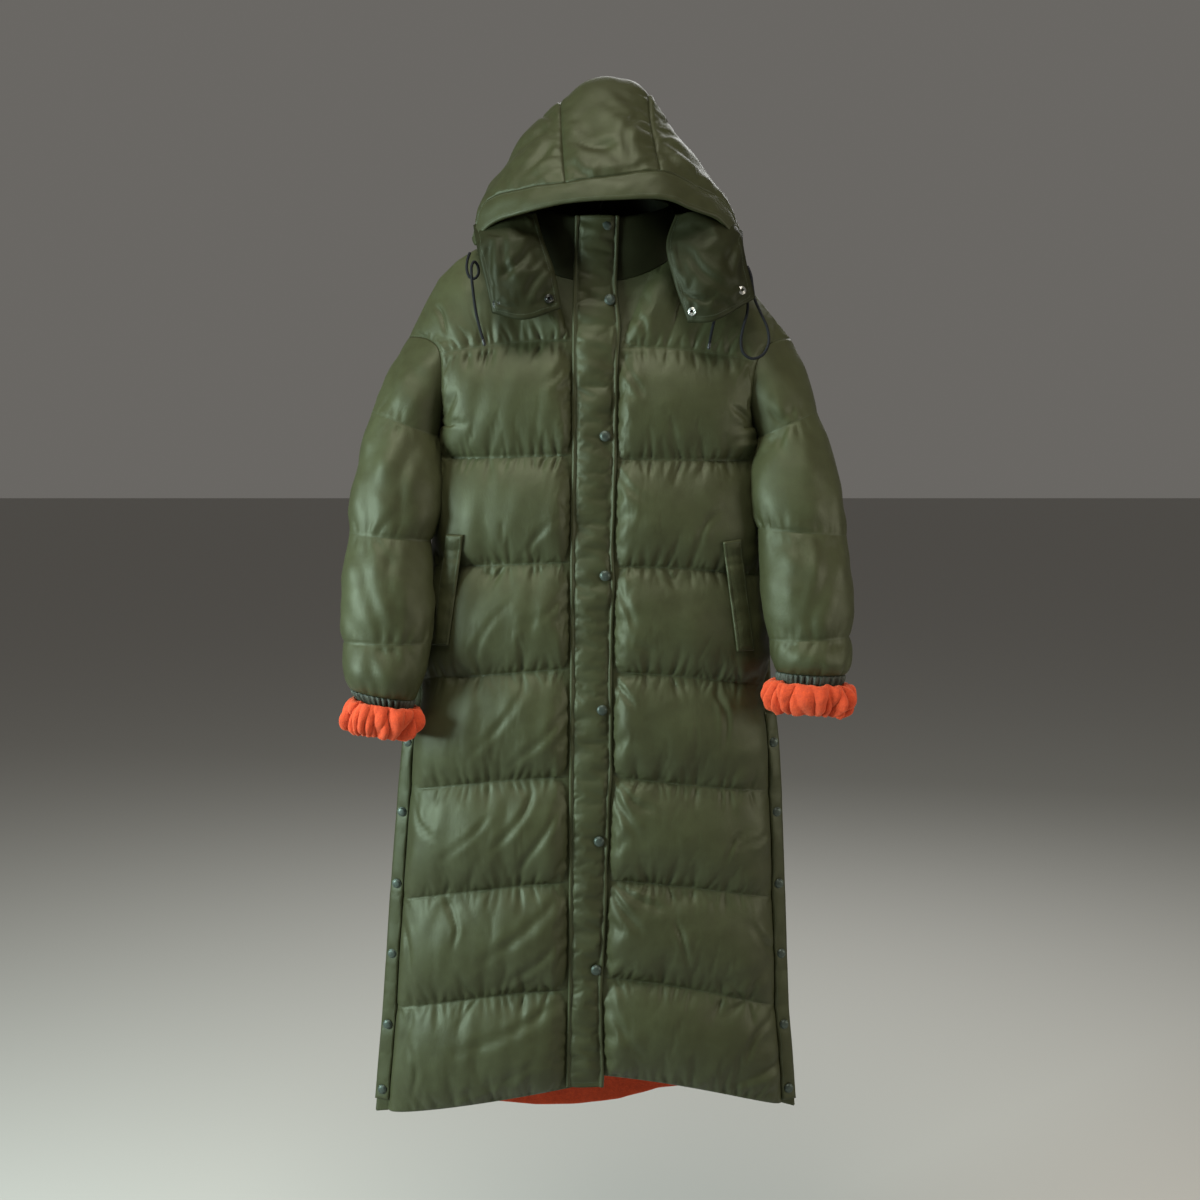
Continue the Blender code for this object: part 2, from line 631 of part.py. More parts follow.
def front_grid(side):
    """The base of a front: its points, the swelling at each, and the rows of its quilt lines."""
    first = 0 if side < 0 else 3
    lines = [line[first:first + 3] for line in QUILT_LINES]
    hole, spokes = armhole(ARMHOLE_RIGHT if side < 0 else ARMHOLE_LEFT)
    shoulder = SHOULDER_RIGHT if side < 0 else SHOULDER_LEFT

    under_yoke = front_row(side, lines[0], hole[YOKE_ROWS])
    columns = len(under_yoke)
    run = [(x, 0.0, z) for x, z in shoulder]
    run[-1] = tuple(hole[0])
    top = np.concatenate((neckline(side), along(run, np.linspace(0, 1, columns - NECK_POINTS))))
    rows, heights = [], []
    for k, t in enumerate(YOKE_SHARES):
        row = top * (1 - t) + np.array(under_yoke) * t
        bend = hole[k] - row[-1]
        weights = np.linspace(0, 1, columns) ** 4
        rows.append(row + np.outer(weights, bend))
        heights.append(YOKE_PUFF * swell(t))
    drop = lines[1][2] - hole[YOKE_ROWS][2]
    for k in range(YOKE_ROWS, UNDERARM + 1):
        t = (hole[k][2] - hole[YOKE_ROWS][2]) / drop
        line = [a + (b - a) * t for a, b in zip(lines[0], lines[1])]
        rows.append(np.array(front_row(side, line[:2] + [hole[k][2]], hole[k])))
        heights.append(FRONT_PUFF * swell(t))
    t = BELOW_UNDERARM
    line = [a + (b - a) * t for a, b in zip(lines[0], lines[1])]
    rows.append(np.array(front_row(side, line, side_point(side, line[2]))))
    heights.append(FRONT_PUFF * swell(t))
    for upper, lower in zip(lines[1:], lines[2:]):
        for t in BAND_ROWS[:-1]:
            line = [a + (b - a) * t for a, b in zip(upper, lower)]
            rows.append(np.array(front_row(side, line, side_point(side, line[2]))))
            heights.append(FRONT_PUFF * swell(t))
    rows.append(np.array(front_row(side, lines[-1], side_point(side, lines[-1][2]))))
    heights.append(0.0)
    return np.array(rows), np.array(heights), hole, spokes


def front_across():
    """The share of the swelling at each column of a front: none under the placket."""
    shares = [0.0, 0.0]
    for place in PANEL_COLUMNS:
        rise = min(place / PLACKET_RISE, 1.0)
        fall = max(1 - place ** 5, 0.0) ** 0.8
        shares.append((1 - (1 - rise) ** 2) * fall)
    return np.array(shares)


def side_directions(normals, hole_spokes, side):
    """The wall directions at a front's outer edge, shared with the back and the sleeve."""
    out = np.array((float(side), 0.0, 0.0))
    normals[UNDERARM + 1:, -1] = out
    normals[:UNDERARM + 1, -1] = hole_spokes[:UNDERARM + 1]
    return normals


def shoulder_directions(points):
    """Directions square to a shoulder seam, up and outwards."""
    tangent = np.gradient(points, axis=0)
    up = np.stack((-tangent[:, 2], np.zeros(len(points)), tangent[:, 0]), axis=1)
    return unit(up * np.where(up[:, 2:3] < 0, -1, 1))


def neck_spokes(points):
    """Level directions away from the middle of the neck."""
    return unit((points - np.array((0.0, NECK_MIDDLE_Y, 0.0))) * np.array((1.0, 1.0, 0.0)))


def edge_lift(heights):
    """The little swelling left down a side seam: none where an armhole takes its place."""
    lift = np.where(heights > 0, SIDE_PUFF, 0.0)
    lift[:UNDERARM + 1] = 0.0
    return lift


def build_front(name, side):
    """One front panel; gives back its outside."""
    base, heights, hole, spokes = front_grid(side)
    forward = np.array((0.0, -1.0, 0.0))
    normals = facing(base, forward)
    normals[:, 0] = normals[:, 1]
    normals = side_directions(normals, spokes, side)
    neck = NECK_POINTS + 1
    normals[0, :neck] = neck_spokes(base[0, :neck])
    normals[0, neck:-1] = shoulder_directions(base[0])[neck:-1]
    puff = np.outer(heights, front_across())
    puff[:, -1] = edge_lift(heights)
    puff[YOKE_ROWS + 1:UNDERARM + 2, -2] = 0.0
    flat = np.array([vent(z) for z in base[:, -1, 2]])[:, None]
    puff[:, -2:] *= 1 - flat
    for column in (-2, -1):
        normals[:, column] = unit(normals[:, column] * (1 - flat) + forward * flat)
    drawn = trim(base, ("top", "first", "last"))
    outer = drawn + normals * (WALL / 2 + puff)[..., None]
    inner = drawn - normals * (WALL / 2)
    outer[:, :, 1] = np.minimum(outer[:, :, 1], np.maximum(drawn[:, :, 1], base[:, -1:, 1]))
    wall(name, outer, inner, NYLON)
    return outer


def back_row(right, left, centre_z):
    """One row of the back from the right edge to the left, through two edge points."""
    row = []
    for share in BACK_COLUMNS:
        x = right[0] + (left[0] - right[0]) * share
        z = cross_line(share, right[2], centre_z, left[2])
        edge_y = right[1] + (left[1] - right[1]) * share
        offset = abs(2 * share - 1)
        rounded = max(1 - offset ** BACK_POWER, 0.0) ** (1 / BACK_POWER)
        deep = max(table(BACK_DEPTH, z)[0], edge_y)
        row.append((x, edge_y + (deep - edge_y) * rounded, z))
    row[0], row[-1] = tuple(right), tuple(left)
    return np.array(row)


def back_grid():
    """The base of the back, the swelling of each row, and the spokes of both armholes."""
    right_hole, right_spokes = armhole(ARMHOLE_RIGHT)
    left_hole, left_spokes = armhole(ARMHOLE_LEFT)
    rows, heights = [], []
    half = len(BACK_COLUMNS) // 2
    right_run = [(x, 0.0, z) for x, z in SHOULDER_RIGHT]
    left_run = [(x, 0.0, z) for x, z in SHOULDER_LEFT]
    right_run[-1], left_run[-1] = tuple(right_hole[0]), tuple(left_hole[0])
    shares = np.linspace(0, 1, len(PANEL_COLUMNS) + 2 - NECK_POINTS)
    right_top = along(right_run, shares)[[-1, -2, -4]]
    left_top = along(left_run, shares)[[-4, -2, -1]]
    top = np.concatenate((right_top, back_neckline(), left_top))
    corner = -YOKE_ROWS
    yoke_line = back_row(right_hole[corner], left_hole[corner], QUILT_LINES[0][6])
    for k, t in enumerate(YOKE_SHARES):
        row = top * (1 - t) + yoke_line * t
        weights = np.abs(2 * np.array(BACK_COLUMNS) - 1) ** 6
        lean = np.zeros_like(row)
        lean[:half] = right_hole[-k] - row[0]
        lean[half + 1:] = left_hole[-k] - row[-1]
        row = row + lean * weights[:, None]
        row[:, 1] += BACK_YOKE_BOW * math.sin(math.pi * t) * (1 - weights)
        rows.append(row)
        heights.append(YOKE_PUFF * swell(t))
    for k in range(YOKE_ROWS, UNDERARM + 1):
        right, left = right_hole[-k], left_hole[-k]
        t = (right[2] - right_hole[corner][2]) / (QUILT_LINES[1][2] - right_hole[corner][2])
        centre = QUILT_LINES[0][6] + (QUILT_LINES[1][6] - QUILT_LINES[0][6]) * t
        rows.append(back_row(right, left, centre))
        heights.append(BACK_PUFF * swell(t))
    bands = [(0, (BELOW_UNDERARM,))]
    bands += [(k, BAND_ROWS[:-1]) for k in range(1, len(QUILT_LINES) - 1)]
    bands.append((len(QUILT_LINES) - 2, (1.0,)))
    for k, shares in bands:
        for t in shares:
            heads, feet = QUILT_LINES[k], QUILT_LINES[k + 1]
            z_right, z_left, z_back = [heads[c] + (feet[c] - heads[c]) * t for c in (2, 5, 6)]
            row = back_row(side_point(-1, z_right), side_point(1, z_left), z_back)
            if k == len(QUILT_LINES) - 2:
                drops = [table(BACK_HEM, x)[0] - cross_line(share, feet[2], feet[6], feet[5])
                         for x, share in zip(row[:, 0], BACK_COLUMNS)]
                row[:, 2] += np.array(drops) * t
            rows.append(row)
            heights.append(BACK_PUFF * swell(t))
    return np.array(rows), np.array(heights), right_spokes, left_spokes


def build_back():
    base, heights, right_spokes, left_spokes = back_grid()
    normals = facing(base, np.array((0.0, 1.0, 0.0)))
    for column, spokes, out in ((0, right_spokes, -1.0), (-1, left_spokes, 1.0)):
        normals[UNDERARM + 1:, column] = (out, 0.0, 0.0)
        for k in range(UNDERARM + 1):
            normals[k, column] = spokes[-k]
    normals[0, 3:8] = neck_spokes(base[0, 3:8])
    seam = shoulder_directions(base[0])
    normals[0, 1:3] = seam[1:3]
    normals[0, 8:10] = seam[8:10]
    shares = np.abs(2 * np.array(BACK_COLUMNS) - 1)
    puff = np.outer(heights, (1 - shares ** 6) ** 0.8)
    puff[:, 0] = puff[:, -1] = edge_lift(heights)
    for column in (0, -1):
        lap = np.array([vent(z) for z in base[:, column, 2]])
        base[:, column, 1] += lap * (WALL / 2 + LAY_ON)
    drawn = trim(base, ("top", "first", "last"))
    outer = drawn + normals * (WALL / 2 + puff)[..., None]
    inner = drawn - normals * (WALL / 2)
    wall("back", outer, inner, NYLON)
    build_hem_lining(base, normals)


def build_hem_lining(base, normals):
    """The fleece lining where it shows, inside the back above its hem."""
    rows = base[-5:, 1:-1].copy()
    rows[-1] = rows[-1] * 0.94 + rows[-2] * 0.06
    directions = normals[-5:, 1:-1]
    lift = WALL / 2 + LAY_ON + LINING_WALL / 2
    middle = rows - directions * lift
    wall("lining_back_hem", middle + directions * (LINING_WALL / 2),
         middle - directions * (LINING_WALL / 2), FLEECE)


def sleeve_ring(ring, count):
    """Points round a sleeve from its outer edge, over the front, to the inner edge and back."""
    outer_x, outer_z, inner_x, inner_z, y, depth = ring
    middle = np.array(((outer_x + inner_x) / 2, y, (outer_z + inner_z) / 2))
    half = np.array(((outer_x - inner_x) / 2, 0.0, (outer_z - inner_z) / 2))
    angles = np.arange(count) * (2 * math.pi / count)
    front = np.array((0.0, -depth, 0.0))
    return middle + np.outer(np.cos(angles), half) + np.outer(np.sin(angles), front)


def ring_spokes(ring, way):
    """Directions away from a ring's middle, square to the way it runs."""
    spokes = ring - ring.mean(axis=0)
    return unit(spokes - np.outer(spokes @ way, way))


def build_sleeve(name, keys, rings):
    hole, spokes = armhole(keys)
    count = len(hole)
    stations = [hole] + [sleeve_ring(ring, count) for ring in rings]
    rows, heights = [], []
    for k in range(len(stations) - 1):
        for t in BAND_ROWS[:-1]:
            row = stations[k] * (1 - t) + stations[k + 1] * t
            rows.append(row)
            heights.append(swell(t) * (TOP_BAND_SHARE if k == 0 else 1.0))
    rows.append(stations[-1])
    heights.append(0.0)
    base, heights = np.array(rows), np.array(heights)
    middles = base.mean(axis=1, keepdims=True)
    normals = facing(base, base - middles, closed=True)
    normals[0] = spokes
    normals[-1] = ring_spokes(base[-1], unit(middles[-1, 0] - middles[-2, 0]))
    angles = np.arange(count) * (2 * math.pi / count)
    faces = SLEEVE_PUFF + SLEEVE_FACE_PUFF * np.sin(angles) ** 2
    faces -= INNER_PRESS * (np.cos(angles) < -0.6)
    puff = np.outer(heights, faces)
    puff[1:4] *= np.array(UNDERARM_FLAT)
    drawn = trim(base, ("top", "foot"))
    drawn[0, UNDERARM - 2:UNDERARM + 3, 0] += math.copysign(UNDERARM_EASE, keys[0][0])
    wall(name, drawn + normals * (WALL / 2 + puff)[..., None], drawn - normals * (WALL / 2),
         NYLON, closed=True)


def build_cuff(side_name, head, foot, shift):
    """The gathered elastic, and the lining's frill that flares below it."""
    top, bottom = sleeve_ring(head, CUFF_POINTS), sleeve_ring(foot, CUFF_POINTS)
    base = np.array([top * (1 - t) + bottom * t for t in (0.0, 0.5, 1.0)])
    axis = unit(bottom.mean(axis=0) - top.mean(axis=0))
    normals = np.array([ring_spokes(row, axis) for row in base])
    drawn = trim(base, ("top", "foot"), 2 * SEAM_TRIM)
    bulge = np.array((0.0, ELASTIC_BULGE, 0.0))[:, None, None]
    wall("cuff_elastic_" + side_name, drawn + normals * (WALL / 2 + bulge),
         drawn - normals * (WALL / 2), ELASTIC, closed=True)

    count = FRILL_WAVES * FRILL_STEPS
    bottom = sleeve_ring(foot, count)
    spokes = ring_spokes(bottom, axis)
    turns = np.arange(count) * (2 * math.pi / count)
    more, share, start = FRILL_UNEVEN
    waves = np.cos(FRILL_WAVES * turns) + share * np.cos((FRILL_WAVES + more) * turns + start)
    lowest = FRILL_PROFILE[-1][1]
    rows = []
    for out, down, share in FRILL_PROFILE:
        lean = np.array((shift * max(down, 0.0) / lowest, 0.0, 0.0))
        reach = out + FRILL_DEPTH * share * waves
        rows.append(bottom + spokes * reach[:, None] + axis * down + lean)
    base = np.array(rows)
    normals = facing(base, np.broadcast_to(spokes, base.shape), closed=True)
    normals[0] = -axis
    wall("cuff_frill_" + side_name, base + normals * (FRILL_WALL / 2),
         base - normals * (FRILL_WALL / 2), FLEECE, closed=True)


def build_hood():
    """A crown panel and two side panels, with a stitched brim across all three."""
    arches = np.array([curve_through(arch, HOOD_COLUMN_STEPS) for arch in HOOD_RINGS])
    columns = arches.shape[1]
    base = np.stack([curve_through(arches[:, k], HOOD_ROW_STEPS) for k in range(columns)], axis=1)
    normals = facing(base, base - np.array(HOOD_MIDDLE))
    right, left = HOOD_SEAM_RIGHT * HOOD_COLUMN_STEPS, HOOD_SEAM_LEFT * HOOD_COLUMN_STEPS
    brim = HOOD_ROW_STEPS
    down = np.linspace(0, 1, base.shape[0] - brim)
    pieces = (
        ("hood_side_right", 0, right, "last"),
        ("hood_centre", right, left, "both"),
        ("hood_side_left", left, columns - 1, "first"),
    )
    for name, start, stop, seams in pieces:
        part = base[brim:, start:stop + 1]
        directions = normals[brim:, start:stop + 1]
        across = np.linspace(0, 1, stop - start + 1)
        rise = np.maximum(np.outer(np.sin(math.pi * down), np.sin(math.pi * across)), 0.0)
        rise = rise ** HOOD_ROUND
        edges = ("top", "first", "last") if seams == "both" else ("top", seams)
        drawn = trim(part, edges)
        wall(name, drawn + directions * (HOOD_WALL / 2 + HOOD_PUFF * rise)[..., None],
             drawn - directions * (HOOD_WALL / 2), NYLON)
    part, directions = base[:brim + 1], normals[:brim + 1]
    drawn = trim(part, ("foot",))
    wall("hood_brim", drawn + directions * (HOOD_WALL / 2), drawn - directions * (HOOD_WALL / 2),
         NYLON)


def build_tab(name, keys):
    """One of the hood's throat tabs; gives back its outside."""
    rows = np.array([curve_through(row, TAB_STEPS) for row in keys])
    base = np.stack([curve_through(rows[:, k], TAB_STEPS) for k in range(rows.shape[1])], axis=1)
    normals = facing(base, np.array((0.0, -1.0, 0.0)))
    outer = base + normals * (HOOD_WALL / 2)
    wall(name, outer, base - normals * (HOOD_WALL / 2), NYLON)
    return outer


def build_collar():
    """The stand collar, from one front end round the back to the other."""
    foot = np.concatenate((neckline(-1), back_neckline(), neckline(1)[::-1]))
    top = along(curve_through(COLLAR_TOP, 3), np.linspace(0, 1, len(foot)))
    middle = 0.5 * (foot + top)
    middle += neck_spokes(middle) * COLLAR_LEAN
    base = np.array([foot, 0.5 * (foot + middle), middle, 0.5 * (middle + top), top])
    base[0, :, 2] += COLLAR_EASE
    base[:, 0, 0] -= COLLAR_EASE
    base[:, -1, 0] += COLLAR_EASE
    directions = np.stack([neck_spokes(row) for row in base])
    directions[:, 0] = directions[:, -1] = (0.0, -1.0, 0.0)
    rise = np.outer(COLLAR_RISE, np.ones(len(foot)))
    rise[:, :COLLAR_FLAT] = 0.0
    rise[:, -COLLAR_FLAT:] = 0.0
    wall("collar", base + directions * (WALL / 2 + COLLAR_PUFF * rise)[..., None],
         base - directions * (WALL / 2), NYLON)


def build_placket():
    """The placket down the front, on the collar and both fronts; gives back how far it rises."""
    heights = np.concatenate((np.linspace(PLACKET_TOP, NECK_FRONT_Z, 4),
                              np.linspace(NECK_FRONT_Z, PLACKET_FOOT, 27)[1:]))
    lift = WALL / 2 + LAY_ON + PLACKET_EASE
    backs, fronts = [], []
    for z in heights:
        right, left, y = table(PLACKET, z)
        places = np.linspace(right, left, len(PLACKET_RAISE))
        backs.append([(x, y - lift, z) for x in places])
        fronts.append([(x, y - lift - PLACKET_WALL - rise, z)
                       for x, rise in zip(places, PLACKET_RAISE)])
    wall("placket", np.array(fronts), np.array(backs), NYLON_TRIM)
    return lift + PLACKET_WALL + max(PLACKET_RAISE)


def surface_y(outer, x, z):
    """How far forward a front's outside reaches at one place."""
    best = None
    rows, columns = outer.shape[:2]
    spot = np.array((x, z))
    for row in range(rows - 1):
        for column in range(columns - 1):
            corners = (outer[row, column], outer[row, column + 1],
                       outer[row + 1, column + 1], outer[row + 1, column])
            for a, b, c in ((0, 1, 2), (0, 2, 3)):
                p, q, r = corners[a], corners[b], corners[c]
                edges = np.array(((q[0] - p[0], r[0] - p[0]), (q[2] - p[2], r[2] - p[2])))
                if abs(np.linalg.det(edges)) < 1e-12:
                    continue
                u, v = np.linalg.solve(edges, spot - p[[0, 2]])
                if u >= -1e-6 and v >= -1e-6 and u + v <= 1 + 1e-6:
                    y = p[1] + u * (q[1] - p[1]) + v * (r[1] - p[1])
                    best = y if best is None else min(best, y)
    return best


def surface_way(outer, x, z, reach=0.005):
    """The direction that a front's outside faces at one place."""
    here = surface_y(outer, x, z)
    across = surface_y(outer, x + reach, z) - here
    up = surface_y(outer, x, z + reach) - here
    return unit(np.array((across / reach, -1.0, up / reach)))


def build_welt(name, outer, corners):
    """A pocket's welt, lying on its front and following its swelling."""
    top_start, top_end, foot_start, foot_end = np.array(corners)
    rows = []
    for t in np.linspace(0, 1, WELT_ROWS):
        start = top_start * (1 - t) + foot_start * t
        end = top_end * (1 - t) + foot_end * t
        rows.append([(x, surface_y(outer, x, z), z)
                     for x, z in (start, 0.5 * (start + end), end)])
    back = np.array(rows)
    bridged = 0.5 * (back[:-2, :, 1] + back[2:, :, 1])
    back[1:-1, :, 1] = np.minimum(back[1:-1, :, 1], bridged)
    back[:, 1, 1] = np.minimum(back[:, 1, 1], 0.5 * (back[:, 0, 1] + back[:, 2, 1]))
    back[:, :, 1] -= WELT_CLEAR
    normals = facing(back, np.array((0.0, -1.0, 0.0)))
    wall(name, back + normals * WELT_WALL, back, NYLON_TRIM)


def build_strip(name, outer):
    """The strip on a vent's flat edge; gives back its face and the way it looks."""
    rows = [k for k in range(outer.shape[0]) if STRIP_FOOT < outer[k, -1, 2] < STRIP_TOP]
    edge, inside = outer[rows, -1], outer[rows, -2]
    base = np.stack([edge * (1 - share) + inside * share for share in STRIP_SHARES], axis=1)
    ways = facing(base, np.array((0.0, -1.0, 0.0)))
    wall(name, base + ways * (LAY_ON + STRIP_WALL), base + ways * LAY_ON, NYLON_TRIM)
    return base + ways * (LAY_ON + STRIP_WALL), ways


def build_snap(name, spot, out, radius, height, look, dish=0.0):
    """A round snap cap on its spot, its dome along out; a dish hollows the middle."""
    out = unit(np.array(out, dtype=float))
    across = unit(np.cross(out, np.array((0.0, 0.0, 1.0))))
    up = np.cross(across, out)
    spot = np.array(spot) + out * LAY_ON
    verts, faces = [], []
    for share, rise in SNAP_PROFILE:
        for k in range(SNAP_SIDES):
            angle = 2 * math.pi * k / SNAP_SIDES
            around = across * math.cos(angle) + up * math.sin(angle)
            verts.append(tuple(spot + around * (radius * share) + out * (height * rise)))
    for ring in range(len(SNAP_PROFILE) - 1):
        for k in range(SNAP_SIDES):
            a, b = ring * SNAP_SIDES + k, ring * SNAP_SIDES + (k + 1) % SNAP_SIDES
            faces.append((a, b, b + SNAP_SIDES, a + SNAP_SIDES))
    verts.append(tuple(spot))
    verts.append(tuple(spot + out * (height * (1.0 - dish))))
    base, crown = len(verts) - 2, len(verts) - 1
    last = (len(SNAP_PROFILE) - 1) * SNAP_SIDES
    for k in range(SNAP_SIDES):
        right = (k + 1) % SNAP_SIDES
        faces.append((base, right, k))
        faces.append((crown, last + k, last + right))
    solid(name, verts, faces, look)


def build_cord(name, keys):
    """A drawcord and its tip, along a smooth run through its route's points."""
    run = curve_through(keys, 8)
    length = float(np.linalg.norm(np.diff(run, axis=0), axis=1).sum())
    points = along(run, np.linspace(0, 1, int(length / CORD_STEP) + 1))
    way = unit(points[-1] - points[-2])
    data = bpy.data.curves.new(name, "CURVE")
    data.dimensions = "3D"
    spline = data.splines.new("POLY")
    spline.points.add(len(points) - 1)
    for spot, place in zip(spline.points, points):
        spot.co = (*place, 1.0)
    data.bevel_depth = CORD_RADIUS
    data.bevel_resolution = 2
    data.use_fill_caps = True
    made = bpy.data.objects.new(name, data)
    data.materials.append(finish(name + "_finish", *CORD_BLACK))
    bpy.context.scene.collection.objects.link(made)
    start = points[-1] + way * TIP_GAP
    build_rod(name.replace("drawcord", "cord_tip"), (start, start + way * TIP_LENGTH),
              TIP_RADIUS, CORD_BLACK)


def tube_faces(rings, sides):
    """The faces of a tube of rings, with its two ends."""
    faces = [tuple(range(sides))[::-1], tuple(range((rings - 1) * sides, rings * sides))]
    for ring in range(rings - 1):
        for k in range(sides):
            a, b = ring * sides + k, ring * sides + (k + 1) % sides
            faces.append((a, b, b + sides, a + sides))
    return faces


def build_rod(name, run, radius, look):
    """A round rod along a run of points."""
    run = np.array(run)
    ways = unit(np.gradient(run, axis=0))
    side_way = unit(np.cross(ways[0], np.array((0.3, 1.0, 0.2))))
    verts, faces = [], []
    for spot, way in zip(run, ways):
        side_way = unit(side_way - way * (side_way @ way))
        other = np.cross(way, side_way)
        for k in range(ROD_SIDES):
            angle = 2 * math.pi * k / ROD_SIDES
            around = side_way * math.cos(angle) + other * math.sin(angle)
            verts.append(tuple(spot + around * radius))
    solid(name, verts, tube_faces(len(run), ROD_SIDES), look)


def build_hanger():
    """A plain wooden bar under the shoulders, and the wire hook that carries it."""
    line = curve_through([(x, 0.0, z) for x, z in HANGER_LINE], 2)
    angles = np.arange(HANGER_SIDES) * (2 * math.pi / HANGER_SIDES)
    verts = []
    for k, spot in enumerate(line):
        size = HANGER_END if k in (0, len(line) - 1) else 1.0
        verts += [(spot[0], HANGER_HALF_WIDTH * size * math.cos(angle),
                   spot[2] + HANGER_HALF_HEIGHT * size * math.sin(angle)) for angle in angles]
    solid("hanger_bar", verts, tube_faces(len(line), HANGER_SIDES), WOOD)
    turn = [(HOOK_ROUND * math.cos(angle), 0.0, HOOK_ROUND * (math.sin(angle) - 1))
            for angle in np.radians(HOOK_TURN)]
    build_rod("hanger_hook", curve_through((*HOOK_STEM, *turn), 2), HOOK_WIRE, STEEL)


def build_coat():
    clear_scene()
    right_outer = build_front("front_right", -1)
    left_outer = build_front("front_left", 1)
    build_back()
    build_sleeve("sleeve_right", ARMHOLE_RIGHT, SLEEVE_RINGS_RIGHT)
    build_sleeve("sleeve_left", ARMHOLE_LEFT, SLEEVE_RINGS_LEFT)
    build_cuff("right", SLEEVE_RINGS_RIGHT[-1], CUFF_FOOT_RIGHT, FRILL_SHIFT_RIGHT)
    build_cuff("left", SLEEVE_RINGS_LEFT[-1], CUFF_FOOT_LEFT, FRILL_SHIFT_LEFT)
    build_collar()
    build_hood()
    placket_lift = build_placket()
    build_welt("welt_right", right_outer, WELT_RIGHT)
    build_welt("welt_left", left_outer, WELT_LEFT)
    reach = SNAP_RADIUS
    for k, (x, z) in enumerate(PLACKET_SNAPS, start=1):
        y = front_depth(z) - placket_lift
        slope = (front_depth(z + reach) - front_depth(z - reach)) / (2 * reach)
        build_snap(f"placket_snap_{k}", (x, y, z), (0, -1, slope), SNAP_RADIUS, SNAP_HEIGHT,
                   DARK_SNAP)
    for name, outer in (("right", right_outer), ("left", left_outer)):
        face, ways = build_strip("side_strip_" + name, outer)
        line = face[::-1, 1]
        for k, z in enumerate(SIDE_SNAPS, start=1):
            spot = np.array([np.interp(z, line[:, 2], line[:, axis]) for axis in range(3)])
            way = unit(ways[:, 1].mean(axis=0))
            build_snap(f"side_snap_{name}_{k}", spot + way * SIDE_SNAP_LIFT, way,
                       SIDE_SNAP_RADIUS, SNAP_HEIGHT, DARK_SNAP)
    for name, keys, spots in (("right", TAB_RIGHT, TAB_SNAPS_RIGHT),
                              ("left", TAB_LEFT, TAB_SNAPS_LEFT)):
        face = build_tab("hood_tab_" + name, keys)
        for k, (x, z) in enumerate(spots, start=1):
            way = surface_way(face, x, z)
            spot = np.array((x, surface_y(face, x, z), z)) + way * TAB_SNAP_LIFT
            build_snap(f"tab_snap_{name}_{k}", spot, way, RING_SNAP_RADIUS, RING_SNAP_HEIGHT,
                       STEEL, RING_SNAP_DISH)
    build_cord("drawcord_right", CORD_RIGHT)
    build_cord("drawcord_left", CORD_LEFT)
    build_hanger()


build_coat()
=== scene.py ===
"""A long hooded puffer coat on a hanger: its cloth, filling, lining, snaps, cords and stitching.

Metres, +Z up, +X to the wearer's left, -Y the coat's front; the origin is the crown of the
hanger's hook. Pieces are named by the wearer's side, so "right" lies at negative X.
"""
import math

import bpy
import numpy as np
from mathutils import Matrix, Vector
from mathutils.bvhtree import BVHTree


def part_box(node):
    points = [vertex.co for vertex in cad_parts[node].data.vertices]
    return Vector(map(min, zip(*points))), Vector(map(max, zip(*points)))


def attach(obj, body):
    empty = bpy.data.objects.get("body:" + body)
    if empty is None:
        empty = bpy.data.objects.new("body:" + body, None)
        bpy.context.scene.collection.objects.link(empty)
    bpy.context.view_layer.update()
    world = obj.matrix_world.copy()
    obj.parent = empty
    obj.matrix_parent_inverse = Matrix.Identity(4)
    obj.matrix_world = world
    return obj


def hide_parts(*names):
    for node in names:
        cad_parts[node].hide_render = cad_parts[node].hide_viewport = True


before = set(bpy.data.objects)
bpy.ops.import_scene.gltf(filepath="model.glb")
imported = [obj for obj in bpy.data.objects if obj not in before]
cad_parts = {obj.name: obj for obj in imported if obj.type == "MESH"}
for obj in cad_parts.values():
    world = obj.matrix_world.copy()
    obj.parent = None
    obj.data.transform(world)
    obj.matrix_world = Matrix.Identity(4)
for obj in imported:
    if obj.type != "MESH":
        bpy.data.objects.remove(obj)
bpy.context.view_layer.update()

# ---- Camera ----
# A 48 mm lens at the height of the chest, tipped down a little, far enough for the whole coat.
CAMERA_PLACE = (0.0, -2.349, -0.42061)
CAMERA_TIP = 5.0  # degrees down from level
CAMERA_LENS = 48.0
CAMERA_SENSOR = 36.0

camera_data = bpy.data.cameras.new("camera")
camera_data.lens = CAMERA_LENS
camera_data.sensor_width = CAMERA_SENSOR
camera = bpy.data.objects.new("camera", camera_data)
camera.location = CAMERA_PLACE
camera.rotation_euler = (math.radians(90.0 - CAMERA_TIP), 0.0, 0.0)
bpy.context.scene.collection.objects.link(camera)
bpy.context.scene.camera = camera

